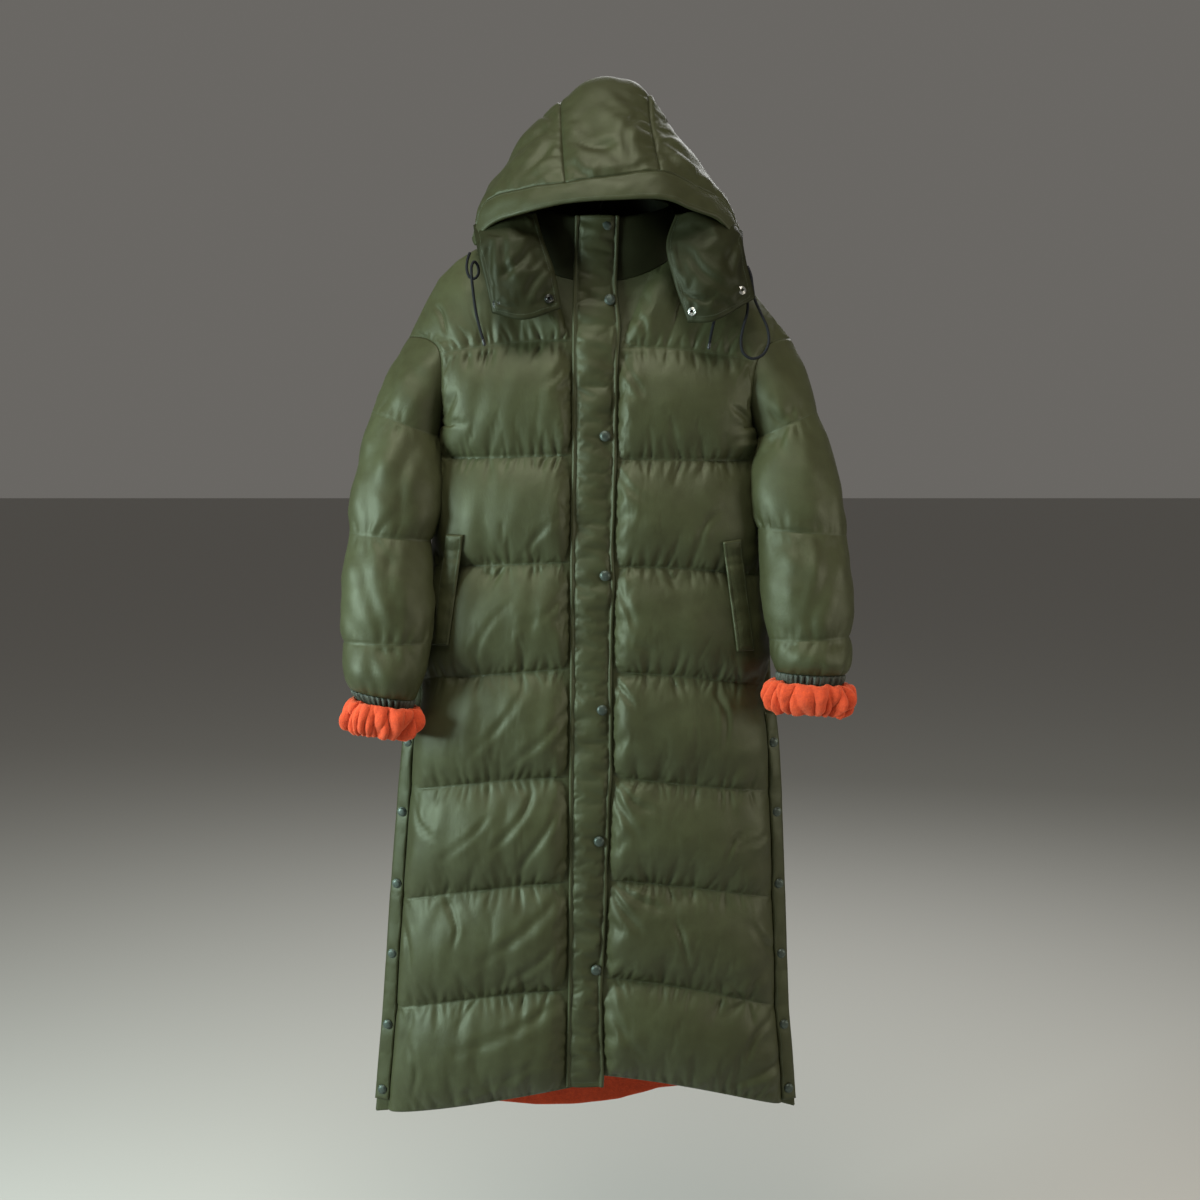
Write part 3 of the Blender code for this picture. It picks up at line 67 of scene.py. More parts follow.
# ---- Drawcords ----
# The two free ends of a round braided polyester cord that comes out of the hood's brim. The
# right one turns round in a small loop under the brim; the left one hangs in a wide loop. Each
# has a moulded tip.
CORD_RADIUS = 0.0020
CORD_SIDES = 12
TIP_SIDES = 16
CORD_STEP = 0.0016  # from one ring of the tube to the next
BRAID_STRANDS = 4
CORD_BLACK = (0.004, 0.005, 0.007, 1.0)
CORD_BLUE = (0.009, 0.010, 0.013, 1.0)
BRAID_PITCH = 0.0021
TIP_RADIUS = 0.0024
TIP_HALF = 0.0048
TIP_PROFILE = (0.80, 0.96, 1.0, 1.0, 1.0, 1.0, 0.97, 0.85, 0.5)
CORD_ROUTES = {
    "right": (
        (-0.1835, -0.06, -0.13), (-0.186, -0.068, -0.14), (-0.1868, -0.0735, -0.153),
        (-0.1835, -0.076, -0.164), (-0.1765, -0.0765, -0.1675), (-0.1705, -0.075, -0.161),
        (-0.171, -0.0745, -0.15), (-0.176, -0.077, -0.144), (-0.1795, -0.082, -0.152),
        (-0.179, -0.084, -0.168), (-0.1775, -0.083, -0.185), (-0.1755, -0.083, -0.202),
        (-0.1725, -0.0835, -0.22), (-0.168, -0.084, -0.238), (-0.164, -0.0845, -0.252),
    ),
    "left": (
        (0.208, -0.062, -0.149), (0.212, -0.07, -0.162), (0.214, -0.074, -0.178),
        (0.217, -0.077, -0.196), (0.226, -0.078, -0.216), (0.235, -0.078, -0.236),
        (0.237, -0.079, -0.256), (0.229, -0.082, -0.273), (0.213, -0.086, -0.279),
        (0.2, -0.087, -0.27), (0.1975, -0.087, -0.252), (0.201, -0.087, -0.233),
        (0.206, -0.086, -0.214), (0.205, -0.084, -0.196), (0.193, -0.083, -0.184),
        (0.178, -0.084, -0.188), (0.168, -0.086, -0.204), (0.16, -0.087, -0.226),
        (0.156, -0.088, -0.243), (0.1535, -0.088, -0.257),
    ),
}


class Socket:
    """An output in a material's tree: arithmetic on it adds Math nodes, node() any other."""

    def __init__(self, tree, output=None):
        self.tree = tree
        self.output = output

    def node(self, kind, settings=None, *values, output=0, **named):
        """A node of that kind: its settings, its first inputs in order, and others by name."""
        made = self.tree.nodes.new("ShaderNode" + kind)
        for name, value in (settings or {}).items():
            setattr(made, name, value)
        given = list(zip(made.inputs, values))
        for name, value in named.items():
            given.append(([item for item in made.inputs if item.enabled
                           and item.name == name.replace("_", " ")][0], value))
        for socket, value in given:
            if isinstance(value, Socket):
                self.tree.links.new(value.output, socket)
            else:
                socket.default_value = value
        return Socket(self.tree, [item for item in made.outputs if item.enabled][output])

    def maths(self, operation, *others):
        return self.node("Math", {"operation": operation}, self, *others)

    def __add__(self, other):
        return self.maths("ADD", other)

    def __sub__(self, other):
        return self.maths("SUBTRACT", other)

    def __rsub__(self, other):
        return self.node("Math", {"operation": "SUBTRACT"}, other, self)

    def __mul__(self, other):
        return self.maths("MULTIPLY", other)

    def __pow__(self, other):
        return self.maths("POWER", other)

    __radd__ = __add__
    __rmul__ = __mul__

    def tint(self, low, high):
        """A colour between two, by this value from 0 to 1."""
        return self.node("Mix", {"data_type": "RGBA"}, Factor=self, A=low, B=high)

    def noise(self, scale, detail=3.0, roughness=0.55):
        """Noise of about 1/scale metres on this vector, from 0 to 1."""
        return self.node("TexNoise", Vector=self, Scale=scale, Detail=detail,
                         Roughness=roughness)


def finish(name, colour, roughness, height=None, depth=0.001, **constants):
    """A material. colour, roughness and height may be functions of the tree's start."""
    made = bpy.data.materials.new(name)
    made.use_nodes = True
    tree = made.node_tree
    shader = tree.nodes["Principled BSDF"]
    start = Socket(tree)
    for socket, value in (("Base Color", colour), ("Roughness", roughness)):
        value = value(start) if callable(value) else value
        if isinstance(value, Socket):
            tree.links.new(value.output, shader.inputs[socket])
        else:
            shader.inputs[socket].default_value = value
    if height is not None:
        bump = start.node("Bump", Height=height(start), Distance=depth, Strength=1.0)
        tree.links.new(bump.output, shader.inputs["Normal"])
    for socket, value in constants.items():
        shader.inputs[socket.replace("_", " ")].default_value = value
    return made


def place_of(start):
    """Object coordinates, in metres."""
    return start.node("TexCoord", output=3)


def cloth_of(start):
    """The piece's own UV: metres across and along its cloth."""
    return start.node("UVMap", {"uv_map": "cloth"})


def mottled(name, shades, colour, roughness, relief, detail=(3.0, 0.55), **constants):
    """A finish that noise varies a little, each kind of it by noise of its own scale.

    colour: scale, floor, gain; roughness: scale, share, least; relief: scale, depth.
    """
    def mottle(scale):
        return lambda start: place_of(start).noise(scale, *detail)

    return finish(name,
                  lambda start: ((mottle(colour[0])(start) - colour[1]) * colour[2]).tint(*shades),
                  lambda start: mottle(roughness[0])(start) * roughness[1] + roughness[2],
                  height=mottle(relief[0]), depth=relief[1], **constants)


def unit(vectors):
    return vectors / np.maximum(np.linalg.norm(vectors, axis=-1, keepdims=True), 1e-9)


def curve_through(points, steps, closed=False):
    """A smooth run of points through the given ones, with steps from each to the next."""
    keys = np.array(points, dtype=float)
    if closed:
        before, after, count = keys[-1:], keys[:2], len(keys)
    else:
        before, after = 2 * keys[:1] - keys[1:2], 2 * keys[-1:] - keys[-2:-1]
        count = len(keys) - 1
    run = np.concatenate((before, keys, after))
    t = (np.arange(steps) / steps)[:, None]
    made = []
    for k in range(count):
        p0, p1, p2, p3 = [run[k + j].reshape(1, -1) for j in range(4)]
        piece = 0.5 * (2 * p1 + (p2 - p0) * t + (2 * p0 - 5 * p1 + 4 * p2 - p3) * t ** 2
                       + (3 * p1 - p0 - 3 * p2 + p3) * t ** 3)
        made.append(piece.reshape(steps, *keys.shape[1:]))
    if not closed:
        made.append(keys[-1:])
    return np.concatenate(made)


def along(points, shares, values=None):
    """The points, or the values at them, at the given shares of a run's length."""
    points = np.array(points, dtype=float)
    steps = np.linalg.norm(np.diff(points, axis=0), axis=1)
    reach = np.concatenate(([0.0], np.cumsum(steps))) / steps.sum()
    columns = (points if values is None else values).T
    return np.stack([np.interp(shares, reach, column) for column in columns], axis=1)


def run_length(points):
    return float(np.linalg.norm(np.diff(points, axis=0), axis=1).sum())


def grid_faces(rows, columns, closed=False):
    """Four-cornered faces over a grid of points that are numbered row by row."""
    index = np.arange(rows * columns).reshape(rows, columns)
    beside = np.roll(index, -1, axis=1)
    if not closed:
        index, beside = index[:, :-1], beside[:, :-1]
    return np.stack((index[:-1], beside[:-1], beside[1:], index[1:]), axis=-1).reshape(-1, 4)


def make_mesh(name, points, faces, uvs, looks, slots=None):
    """An object from points and faces that face out, each point with its place on the cloth."""
    mesh = bpy.data.meshes.new(name)
    mesh.from_pydata(np.asarray(points).tolist(), [], faces)
    if uvs is not None:
        layer = mesh.uv_layers.new(name="cloth")
        corners = np.empty(len(mesh.loops), dtype=np.int32)
        mesh.loops.foreach_get("vertex_index", corners)
        layer.data.foreach_set("uv", np.asarray(uvs, dtype=np.float32)[corners].ravel())
    for look in looks:
        mesh.materials.append(look)
    if slots is not None:
        mesh.polygons.foreach_set("material_index", np.asarray(slots, dtype=np.int32))
    mesh.shade_smooth()
    made = bpy.data.objects.new(name, mesh)
    bpy.context.scene.collection.objects.link(made)
    return made


def tube(name, run, radii, sides, look):
    """A round tube along a run of points, its ends closed flat."""
    radii = np.broadcast_to(radii, len(run))
    ways = unit(np.gradient(run, axis=0))
    side_way = unit(np.cross(ways[0], np.array((0.3, 1.0, 0.2))))
    reach = np.concatenate(([0.0], np.cumsum(np.linalg.norm(np.diff(run, axis=0), axis=1))))
    angles = np.arange(sides) * (2 * math.pi / sides)
    points, uvs = [], []
    for spot, way, radius, far in zip(run, ways, radii, reach):
        side_way = unit(side_way - way * (side_way @ way))
        other = np.cross(way, side_way)
        ring = np.outer(np.cos(angles), side_way) + np.outer(np.sin(angles), other)
        points.append(spot + ring * radius)
        uvs.append(np.stack((angles * CORD_RADIUS, np.full(sides, far)), axis=1))
    faces = grid_faces(len(run), sides, closed=True).tolist()
    faces += [range(sides)[::-1], range((len(run) - 1) * sides, len(run) * sides)]
    return make_mesh(name, np.concatenate(points), faces, np.concatenate(uvs), [look])


def braid_height(start):
    """Strands that cross as they wind round the cord both ways."""
    cloth = cloth_of(start)
    around, far = [cloth.node("SeparateXYZ", Vector=cloth, output=axis) for axis in (0, 1)]
    turn = around * (BRAID_STRANDS / CORD_RADIUS)
    run = far * (2 * math.pi / BRAID_PITCH)
    return (turn + run).maths("SINE") * (turn - run).maths("SINE") * 0.5 + 0.5


def dress(piece, slot, *nodes):
    """Says that a piece rides on the coat and hides the solids that it stands for; slot is not used.
    """
    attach(piece, "root")
    if nodes:
        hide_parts(*nodes)


# The cord's colour follows the braid's relief: near-black where its strands dip, as painted shade
# between them, and blue-black on their crowns.
cord_look = finish(
    "braided_cord",
    lambda start: braid_height(start).tint(CORD_BLACK, CORD_BLUE),
    lambda start: 0.75 - braid_height(start) * 0.2,
    height=braid_height, depth=0.0003, Specular_IOR_Level=0.15)
tip_look = mottled("moulded_tip", (CORD_BLACK, CORD_BLUE), (400.0, 0.0, 1.0),
                   (900.0, 0.2, 0.35), (700.0, 0.0001))

for side_name, route in CORD_ROUTES.items():
    smooth = curve_through(route, 8)
    length = run_length(smooth)
    path = along(smooth, np.linspace(0, 1, int(length / CORD_STEP)))
    cord = tube("cord_" + side_name, path, CORD_RADIUS, CORD_SIDES, cord_look)
    dress(cord, "cord", "drawcord_" + side_name)
    low, high = [np.array(corner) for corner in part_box("cord_tip_" + side_name)]
    places = np.linspace(-TIP_HALF, TIP_HALF, len(TIP_PROFILE))
    tip_run = 0.5 * (low + high) + np.outer(places, unit(path[-1] - path[-3]))
    tip = tube("tip_" + side_name, tip_run, TIP_RADIUS * np.array(TIP_PROFILE), TIP_SIDES,
               tip_look)
    dress(tip, "cord_tip", "cord_tip_" + side_name)

# ---- Hanger ----
# A plain bar of pale wood under the shoulders, and a bent steel hook screwed into it. Both keep
# the shapes of their solids.
WOOD_PALE = (0.46, 0.29, 0.15, 1.0)
WOOD_DARK = (0.28, 0.16, 0.07, 1.0)
STEEL_PALE = (0.12, 0.12, 0.11, 1.0)
STEEL_DARK = (0.05, 0.05, 0.05, 1.0)


def grain(start):
    """Fibres that run along the bar."""
    place = place_of(start)
    return place.node("Mapping", Vector=place, Scale=(1.0, 14.0, 14.0)).noise(30.0, 6.0, 0.6) ** 1.4


wood_look = finish("hanger_wood", lambda start: grain(start).tint(WOOD_DARK, WOOD_PALE),
                   lambda start: 0.35 + grain(start) * 0.25, height=grain, depth=0.0003)
steel_look = mottled("hook_steel", (STEEL_DARK, STEEL_PALE), (160.0, 0.0, 1.0),
                     (300.0, 0.25, 0.3), (800.0, 0.00005), Metallic=1.0)
for node_name, look in (("hanger_bar", wood_look), ("hanger_hook", steel_look)):
    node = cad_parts[node_name]
    node.data.materials.clear()
    node.data.materials.append(look)

# ---- Fronts ----
# Two panels of satin nylon over loose filling and an orange fleece lining, cut from shoulder to
# hem and meeting under the placket. Lines of stitching sewn right through make the bands, and
# each line gathers the cloth beside it into short tucks.
WALL = 0.003  # shell, flattened filling and lining where they are sewn together
FRONT_PUFF = 0.0225
YOKE_PUFF = 0.018
SWELL_LEAN = 1.30  # over 1, a band swells most below its middle
SWELL_ROUND = 0.62  # under 1, it rises steeply from its lines
PLACKET_RISE = 0.085  # share of a front over which its swelling rises beside the placket
FRONT_POWER = 2.3  # over 2, a front is squarer than an ellipse
FRONT_COLUMNS = 104
UNDER_SHARES = (0.0, 0.33, 0.67)  # where a front's columns under the placket lie
UNDER = len(UNDER_SHARES)
COARSE_COLUMNS = 11  # steps across a front in its coarse grid, from the opening
YOKE_ROWS = 32
BESIDE_ROWS = 21  # down the armhole's front edge, then below it
BELOW_ROWS = 13
BAND_ROWS = 33
VENT_HEAD = -0.700  # z where a front's edge starts to flatten for its vent
VENT_FULL = -0.780  # and where it is wholly flat
VENT_EDGE = 0.925  # where on a front the vent's flat edge starts
EDGE_SLOPE = 0.0035  # how much further forward the flat edge stands at its inner line
OLIVE = (0.0255, 0.0265, 0.0105, 1.0)
OLIVE_LIT = (0.041, 0.046, 0.020, 1.0)
SATIN_TINT = (0.84, 0.92, 0.74, 1.0)
SATIN_SHINE = 0.42
CRUMPLE_DEPTH = 0.0034
ORANGE = (0.62, 0.066, 0.011, 1.0)
# Painted shade: the fleece's colour between its clumps.
ORANGE_PAINTED_SHADE = (0.34, 0.024, 0.004, 1.0)

FORWARD = np.array((0.0, -1.0, 0.0))
SIDES = ((-1, "right"), (1, "left"))

QUILT_LINES = (
    # right: placket, half, side   left: placket, half, side   back centre
    (-0.2535, -0.255, -0.2704, -0.2618, -0.2645, -0.2817, -0.268),
    (-0.4121, -0.4163, -0.4177, -0.4178, -0.4206, -0.421, -0.424),
    (-0.5635, -0.5691, -0.5744, -0.5721, -0.5748, -0.5892, -0.585),
    (-0.7155, -0.7265, -0.739, -0.7212, -0.7309, -0.7495, -0.747),
    (-0.8743, -0.8844, -0.9056, -0.8713, -0.8888, -0.9056, -0.909),
    (-1.0301, -1.0442, -1.0712, -1.0272, -1.0412, -1.0682, -1.073),
    (-1.1917, -1.2074, -1.2373, -1.1736, -1.1938, -1.2357, -1.238),
    (-1.34, -1.371, -1.396, -1.323, -1.346, -1.3882, -1.412),
)
SIDE_SEAM = (
    # z, right x, left x, y
    (-1.396, -0.3365, 0.2925, -0.016), (-1.3, -0.3275, 0.285, -0.016),
    (-1.235, -0.3215, 0.279, -0.015), (-1.07, -0.3095, 0.2725, -0.014),
    (-0.905, -0.2955, 0.2655, -0.013), (-0.835, -0.289, 0.2615, -0.012),
    (-0.74, -0.27, 0.2505, -0.008), (-0.66, -0.26, 0.2465, -0.006),
    (-0.59, -0.25, 0.24, -0.004), (-0.5, -0.2405, 0.231, -0.003),
    (-0.43, -0.239, 0.2335, -0.003), (-0.385, -0.2335, 0.2275, -0.004),
    (-0.372, -0.228, 0.219, -0.004),
)
PLACKET = (
    # z, right edge x, free left edge x, y of the fronts
    (-1.345, -0.0502, 0.0044, -0.055), (-1.3, -0.0495, 0.0052, -0.057),
    (-1.208, -0.047, 0.003, -0.06), (-1.117, -0.046, 0.0085, -0.063),
    (-0.996, -0.0451, 0.013, -0.067), (-0.878, -0.0447, 0.0172, -0.071),
    (-0.704, -0.0429, 0.0185, -0.075), (-0.561, -0.0426, 0.0205, -0.076),
    (-0.42, -0.0396, 0.0225, -0.074), (-0.309, -0.0395, 0.0259, -0.07),
    (-0.225, -0.0392, 0.029, -0.063), (-0.169, -0.038, 0.0245, -0.054),
    (-0.12, -0.0365, 0.0262, -0.052), (-0.077, -0.0352, 0.0281, -0.051),
)
SHOULDERS = {
    # x, z from the neck out to the armhole
    -1: (
        (-0.1156, -0.1038), (-0.1445, -0.107), (-0.18, -0.118), (-0.206, -0.134),
        (-0.2317, -0.159), (-0.2508, -0.193), (-0.2766, -0.2436),
    ),
    1: (
        (0.118, -0.105), (0.145, -0.118), (0.1736, -0.1385), (0.2056, -0.161),
        (0.232, -0.1925), (0.254, -0.22), (0.2767, -0.2465),
    ),
}
ARMHOLES = {
    # x, y, z: top, front high, front corner, front low, underarm, and back up behind
    -1: (
        (-0.2766, 0.005, -0.2436), (-0.2467, -0.03, -0.2491), (-0.2275, -0.052, -0.2704),
        (-0.2263, -0.05, -0.33), (-0.228, -0.004, -0.372), (-0.2363, 0.04, -0.33),
        (-0.2462, 0.046, -0.2728), (-0.2591, 0.03, -0.2519),
    ),
    1: (
        (0.2767, 0.005, -0.2465), (0.2467, -0.03, -0.2531), (0.2233, -0.052, -0.2817),
        (0.2163, -0.05, -0.334), (0.2205, -0.008, -0.372), (0.23, 0.04, -0.33),
        (0.2432, 0.046, -0.2748), (0.2606, 0.03, -0.2549),
    ),
}
FRONT_CORNER = 4  # places down an armhole, of 16 all round it
UNDERARM = 8
NECK_FRONT_Z = -0.170
NECK_POWERS = (0.90, 0.75, 1.30)
NECK_POINTS = 5  # steps from the opening to the shoulder seam, in the coarse grid
PANEL_COLUMNS = (0.0, 0.10, 0.22, 0.36, 0.50, 0.64, 0.77, 0.87, 0.945, 1.0)
YOKE_SHARES = (0.0, 0.34, 0.68, 0.90, 1.0)
HOLE_STEPS = 24  # fine steps from one key of an armhole to the next
HOLE_PLACES = 2  # places from one key to the next
HOLE_EASE = 0.024  # how far from an armhole its shape is felt
LINE_REACH = 0.030  # how far from a line its gathering leaves the cloth full
LINE_SHARE = 0.999  # a row this far down its band lies on its line
TURNED_IN = 4  # steps of the shell's cloth turned in behind each edge
START_PUFF = 0.86  # share of the swelling before the cloth blows out
SETTLE_FRAMES = 14
SETTLE_FREE = 0.0012  # how far the cloth may come to rest from its start, and how much
SETTLE_SHARE = 0.65  # more of its start's height
FULLNESS_LEVELS = 10
CLOTH_SETTINGS = {
    "quality": 4, "mass": 0.1, "air_damping": 1.5, "use_pressure": True,
    "tension_stiffness": 15.0, "compression_stiffness": 15.0, "shear_stiffness": 4.5,
    "bending_stiffness": 0.07, "vertex_group_mass": "sewn", "vertex_group_shrink": "fullness",
}


def table(rows, at):
    """The columns of a table at one value of its first, which rises from row to row."""
    rows = np.array(rows)
    return [np.interp(at, rows[:, 0], rows[:, k]) for k in range(1, rows.shape[1])]


def swell(t):
    """The share of the swelling down a quilted band, from its upper line, 0, to its lower, 1."""
    return np.maximum(np.sin(math.pi * np.asarray(t) ** SWELL_LEAN), 0.0) ** SWELL_ROUND


def cross_line(share, start, half, end):
    """A sewn line's height across a panel, through three heights."""
    return (start * (1 - share) * (1 - 2 * share) + half * 4 * share * (1 - share)
            + end * share * (2 * share - 1))


def bell(x):
    return np.exp(-x ** 2)


def ease(t):
    """A share from 0 to 1 that starts and ends gently."""
    t = np.clip(t, 0.0, 1.0)
    return t * t * (3 - 2 * t)


def vent(z):
    return ease((VENT_HEAD - z) / (VENT_HEAD - VENT_FULL))


def facing(grid, towards, closed=False):
    """Unit normals of a grid, on the side that towards points."""
    if closed:
        across = np.roll(grid, -1, axis=1) - np.roll(grid, 1, axis=1)
    else:
        across = np.gradient(grid, axis=1)
    normal = unit(np.cross(np.gradient(grid, axis=0), across))
    turned = np.sum(normal * towards, axis=-1)
    return normal * (-1.0 if np.median(turned) < 0 else 1.0)


def cosine_steps(count, bunching=0.6):
    """Shares from 0 to 1 that lie closer together towards both ends."""
    even = np.linspace(0, 1, count + 1)
    return even * (1 - bunching) + (0.5 - 0.5 * np.cos(math.pi * even)) * bunching


class Armhole:
    """The seam between a sleeve and the body, read at places from 0, its top, to 16."""

    def __init__(self, keys):
        self.ring = curve_through(keys, HOLE_STEPS, closed=True)
        middle = self.ring.mean(axis=0)
        count = len(self.ring)
        axis = unit(np.cross(self.ring[0] - self.ring[count // 2],
                             self.ring[count // 4] - self.ring[-count // 4]))
        spokes = self.ring - middle
        self.spokes = unit(spokes - np.outer(spokes @ axis, axis))

    def at(self, place, what=None):
        ring = self.ring if what is None else what
        spot = (place * HOLE_STEPS / HOLE_PLACES) % len(ring)
        low = int(spot)
        share = spot - low
        return ring[low] * (1 - share) + ring[(low + 1) % len(ring)] * share


def even_places(hole, start, stop, count):
    """Places down an armhole that lie at even heights, without the first."""
    fine = np.linspace(start, stop, 200)
    heights = np.array([hole.at(place)[2] for place in fine])
    wanted = np.linspace(heights[0], heights[-1], count + 1)[1:]
    return np.interp(-wanted, -heights, fine)


armholes = {side: Armhole(keys) for side, keys in ARMHOLES.items()}
FRONT_SHARES = cosine_steps(FRONT_COLUMNS - UNDER - 1, 0.3)


def front_row(side, line, end):
    """One row of a front, under the placket and out to the side."""
    right, left, depth = table(PLACKET, line[0])
    opening = 0.5 * (right + left)
    edge = right if side < 0 else left
    under = opening + (edge - opening) * np.array(UNDER_SHARES)
    x = np.concatenate((under, edge + (end[0] - edge) * FRONT_SHARES))
    share = (x - opening) / (end[0] - opening)
    flat = vent(end[2])
    flat_from = (edge + (end[0] - edge) * VENT_EDGE - opening) / (end[0] - opening)
    bend = np.minimum(share / (1 + (flat_from - 1) * flat), 1.0)
    rounded = np.maximum(1 - bend ** FRONT_POWER, 0.0) ** (1 / FRONT_POWER)
    lean = -EDGE_SLOPE * flat * np.minimum((1 - share) / (1 - flat_from), 1.0)
    y = end[1] + lean + (depth - end[1] - lean) * rounded
    return np.stack((x, y, cross_line(share, *line)), axis=1)


def side_point(side, z):
    right, left, y = table(SIDE_SEAM, z)
    return np.array((right if side < 0 else left, y, z))


def neck_point(side, place):
    """A point on the neck's edge, from 0 at the opening to NECK_POINTS at the shoulder seam."""
    shoulder_x, shoulder_z = SHOULDERS[side][0]
    right, left, depth = table(PLACKET, NECK_FRONT_Z)
    opening = 0.5 * (right + left)
    angle = min(place / NECK_POINTS, 1.0) * math.pi / 2
    across, down = math.sin(angle), max(math.cos(angle), 0.0)
    power_x, power_y, power_z = NECK_POWERS
    return (opening + (shoulder_x - opening) * across ** power_x,
            depth * down ** power_y,
            shoulder_z + (NECK_FRONT_Z - shoulder_z) * down ** power_z)


def front_grid(side):
    """A front's base, the swelling of each row, and each row's band and place down it."""
    first = 0 if side < 0 else 3
    lines = [line[first:first + 3] for line in QUILT_LINES]
    hole = armholes[side]
    places = 2 + np.interp(FRONT_SHARES, PANEL_COLUMNS, range(len(PANEL_COLUMNS)))
    places = np.concatenate(((0.0, 0.67, 1.33), places))
    corner = hole.at(float(FRONT_CORNER))
    under_yoke = front_row(side, lines[0], corner)
    shoulder = [(x, 0.0, z) for x, z in SHOULDERS[side]]
    shoulder[-1] = tuple(hole.at(0.0))
    out_shares = np.clip((places - NECK_POINTS) / (COARSE_COLUMNS - NECK_POINTS), 0, 1)
    top = np.array([neck_point(side, place) if place < NECK_POINTS else far
                    for place, far in zip(places, along(shoulder, out_shares))])
    weights = ((places / COARSE_COLUMNS) ** 4)[:, None]
    rows, puffs, bands = [], [], []
    for step in cosine_steps(YOKE_ROWS, 0.4):
        t = np.interp(FRONT_CORNER * step, range(len(YOKE_SHARES)), YOKE_SHARES)
        row = top * (1 - t) + under_yoke * t
        rows.append(row + weights * (hole.at(FRONT_CORNER * step) - row[-1]))
        puffs.append(YOKE_PUFF * swell(t))
        bands.append((0, t))
    drop = lines[1][2] - corner[2]
    beside = [hole.at(place)
              for place in even_places(hole, FRONT_CORNER, UNDERARM, BESIDE_ROWS)]
    below = np.linspace(beside[-1][2], lines[1][2], BELOW_ROWS + 1)[1:]
    beside += [side_point(side, z) for z in below]
    from_side = np.concatenate((np.ones(UNDER), 1 - FRONT_SHARES)) * abs(corner[0])
    near_side = np.exp(-(from_side / HOLE_EASE) ** 1.3)[:, None]
    for end in beside:
        t = (end[2] - corner[2]) / drop
        line = [a + (b - a) * t for a, b in zip(lines[0][:2], lines[1][:2])] + [end[2]]
        smooth_end = corner * (1 - t) + side_point(side, lines[1][2]) * t
        smooth_end[2] = end[2]
        rows.append(front_row(side, line, smooth_end) + near_side * (end - smooth_end))
        puffs.append(FRONT_PUFF * swell(t))
        bands.append((1, t))
    for band, (upper, lower) in enumerate(zip(lines[1:], lines[2:]), start=2):
        for t in cosine_steps(BAND_ROWS)[1:]:
            line = [a + (b - a) * t for a, b in zip(upper, lower)]
            rows.append(front_row(side, line, side_point(side, line[2])))
            puffs.append(FRONT_PUFF * swell(t))
            bands.append((band, t))
    base, bands = np.array(rows), np.array(bands)
    narrow = 1 - (1 - VENT_EDGE) * vent(base[:, -1:, 2])
    rise = 1 - (1 - np.minimum(FRONT_SHARES / PLACKET_RISE, 1.0)) ** 2
    full_side = 5 + 9 * bell((base[:, -1:, 2] + 0.46) / 0.07)   # fullest beside the pocket
    across = rise * np.maximum(1 - (FRONT_SHARES / narrow) ** full_side, 0.0) ** 0.8
    across = np.concatenate((np.zeros((len(base), UNDER)), across), axis=1)
    return base, np.array(puffs)[:, None] * across, bands


def reaches(grid):
    """How far along its row, and down its column, each point of a grid lies, in metres."""
    across = np.linalg.norm(np.diff(grid, axis=1), axis=2)
    down = np.linalg.norm(np.diff(grid, axis=0), axis=2)
    along_row = np.concatenate((np.zeros((len(grid), 1)), np.cumsum(across, axis=1)), axis=1)
    down_column = np.concatenate((np.zeros((1, grid.shape[1])), np.cumsum(down, axis=0)))
    return along_row, down_column


def tucks(across, away, seed, reach=0.036, deep=0.0032, pitch=(0.008, 0.020)):
    """The depth of the small gathers that a line of stitching pulls into the cloth beside it.

    across is each point's place along the line and away its distance from it, in metres.
    """
    draw = np.random.default_rng(seed)
    depth = np.zeros_like(across)
    spot, end = 0.006, float(across.max())
    while spot < end:
        size = draw.uniform(0.25, 1.0) ** 1.2
        length = reach * (0.35 + 0.9 * size * draw.uniform(0.5, 1.0))
        width = draw.uniform(0.0018, 0.0036) * (0.7 + 0.5 * size)
        slant = draw.normal(0.0, 0.28)
        fade = np.clip(1 - away / length, 0, 1) ** 1.5 * np.clip(away / 0.0025, 0.25, 1)
        off = (across - spot - slant * away) / (width * (1 + away / 0.018))
        depth = np.maximum(depth, deep * size * bell(off) * fade)
        spot += draw.uniform(*pitch)
    return depth


def ripple(points, size, seed, directions=7):
    """Slow, uneven waves of about that size through space, from about -1 to 1."""
    draw = np.random.default_rng(seed)
    total = np.zeros(points.shape[:-1])
    for _ in range(directions):
        way = unit(draw.normal(size=3))
        turn = 2 * math.pi / (size * draw.uniform(0.7, 1.4))
        total += np.sin(points @ way * turn + draw.uniform(0, 2 * math.pi))
    return total / math.sqrt(directions)


def creases(points, folds):
    """How far given folds press cloth in, seen from the front.

    Each fold: x and z of its start, of its middle and of its end, its width and its depth.
    """
    flat = points[..., (0, 2)]
    depth = np.zeros(points.shape[:-1])
    for *places, width, deep in folds:
        line = curve_through(np.reshape(places, (3, 2)), 10)
        near = np.full(depth.shape, np.inf)
        place, sign = np.zeros(depth.shape), np.zeros(depth.shape)
        for k in range(len(line) - 1):
            run = line[k + 1] - line[k]
            offset = flat - line[k]
            t = np.clip(offset @ run / (run @ run), 0, 1)
            gap = offset - t[..., None] * run
            away = np.linalg.norm(gap, axis=-1)
            closer = away < near
            near = np.where(closer, away, near)
            place = np.where(closer, (k + t) / (len(line) - 1), place)
            turned = run[0] * gap[..., 1] - run[1] * gap[..., 0]
            sign = np.where(closer, np.sign(turned), sign)
        inside = (place > 0) & (place < 1)
        fade = np.clip(np.sin(math.pi * place), 0, 1) ** 0.7 * inside
        off = near * sign / width
        valley = bell(off) - 0.55 * bell((off - 1.9) / 1.2) - 0.30 * bell((off + 2.0) / 1.3)
        depth += deep * valley * fade
    return depth


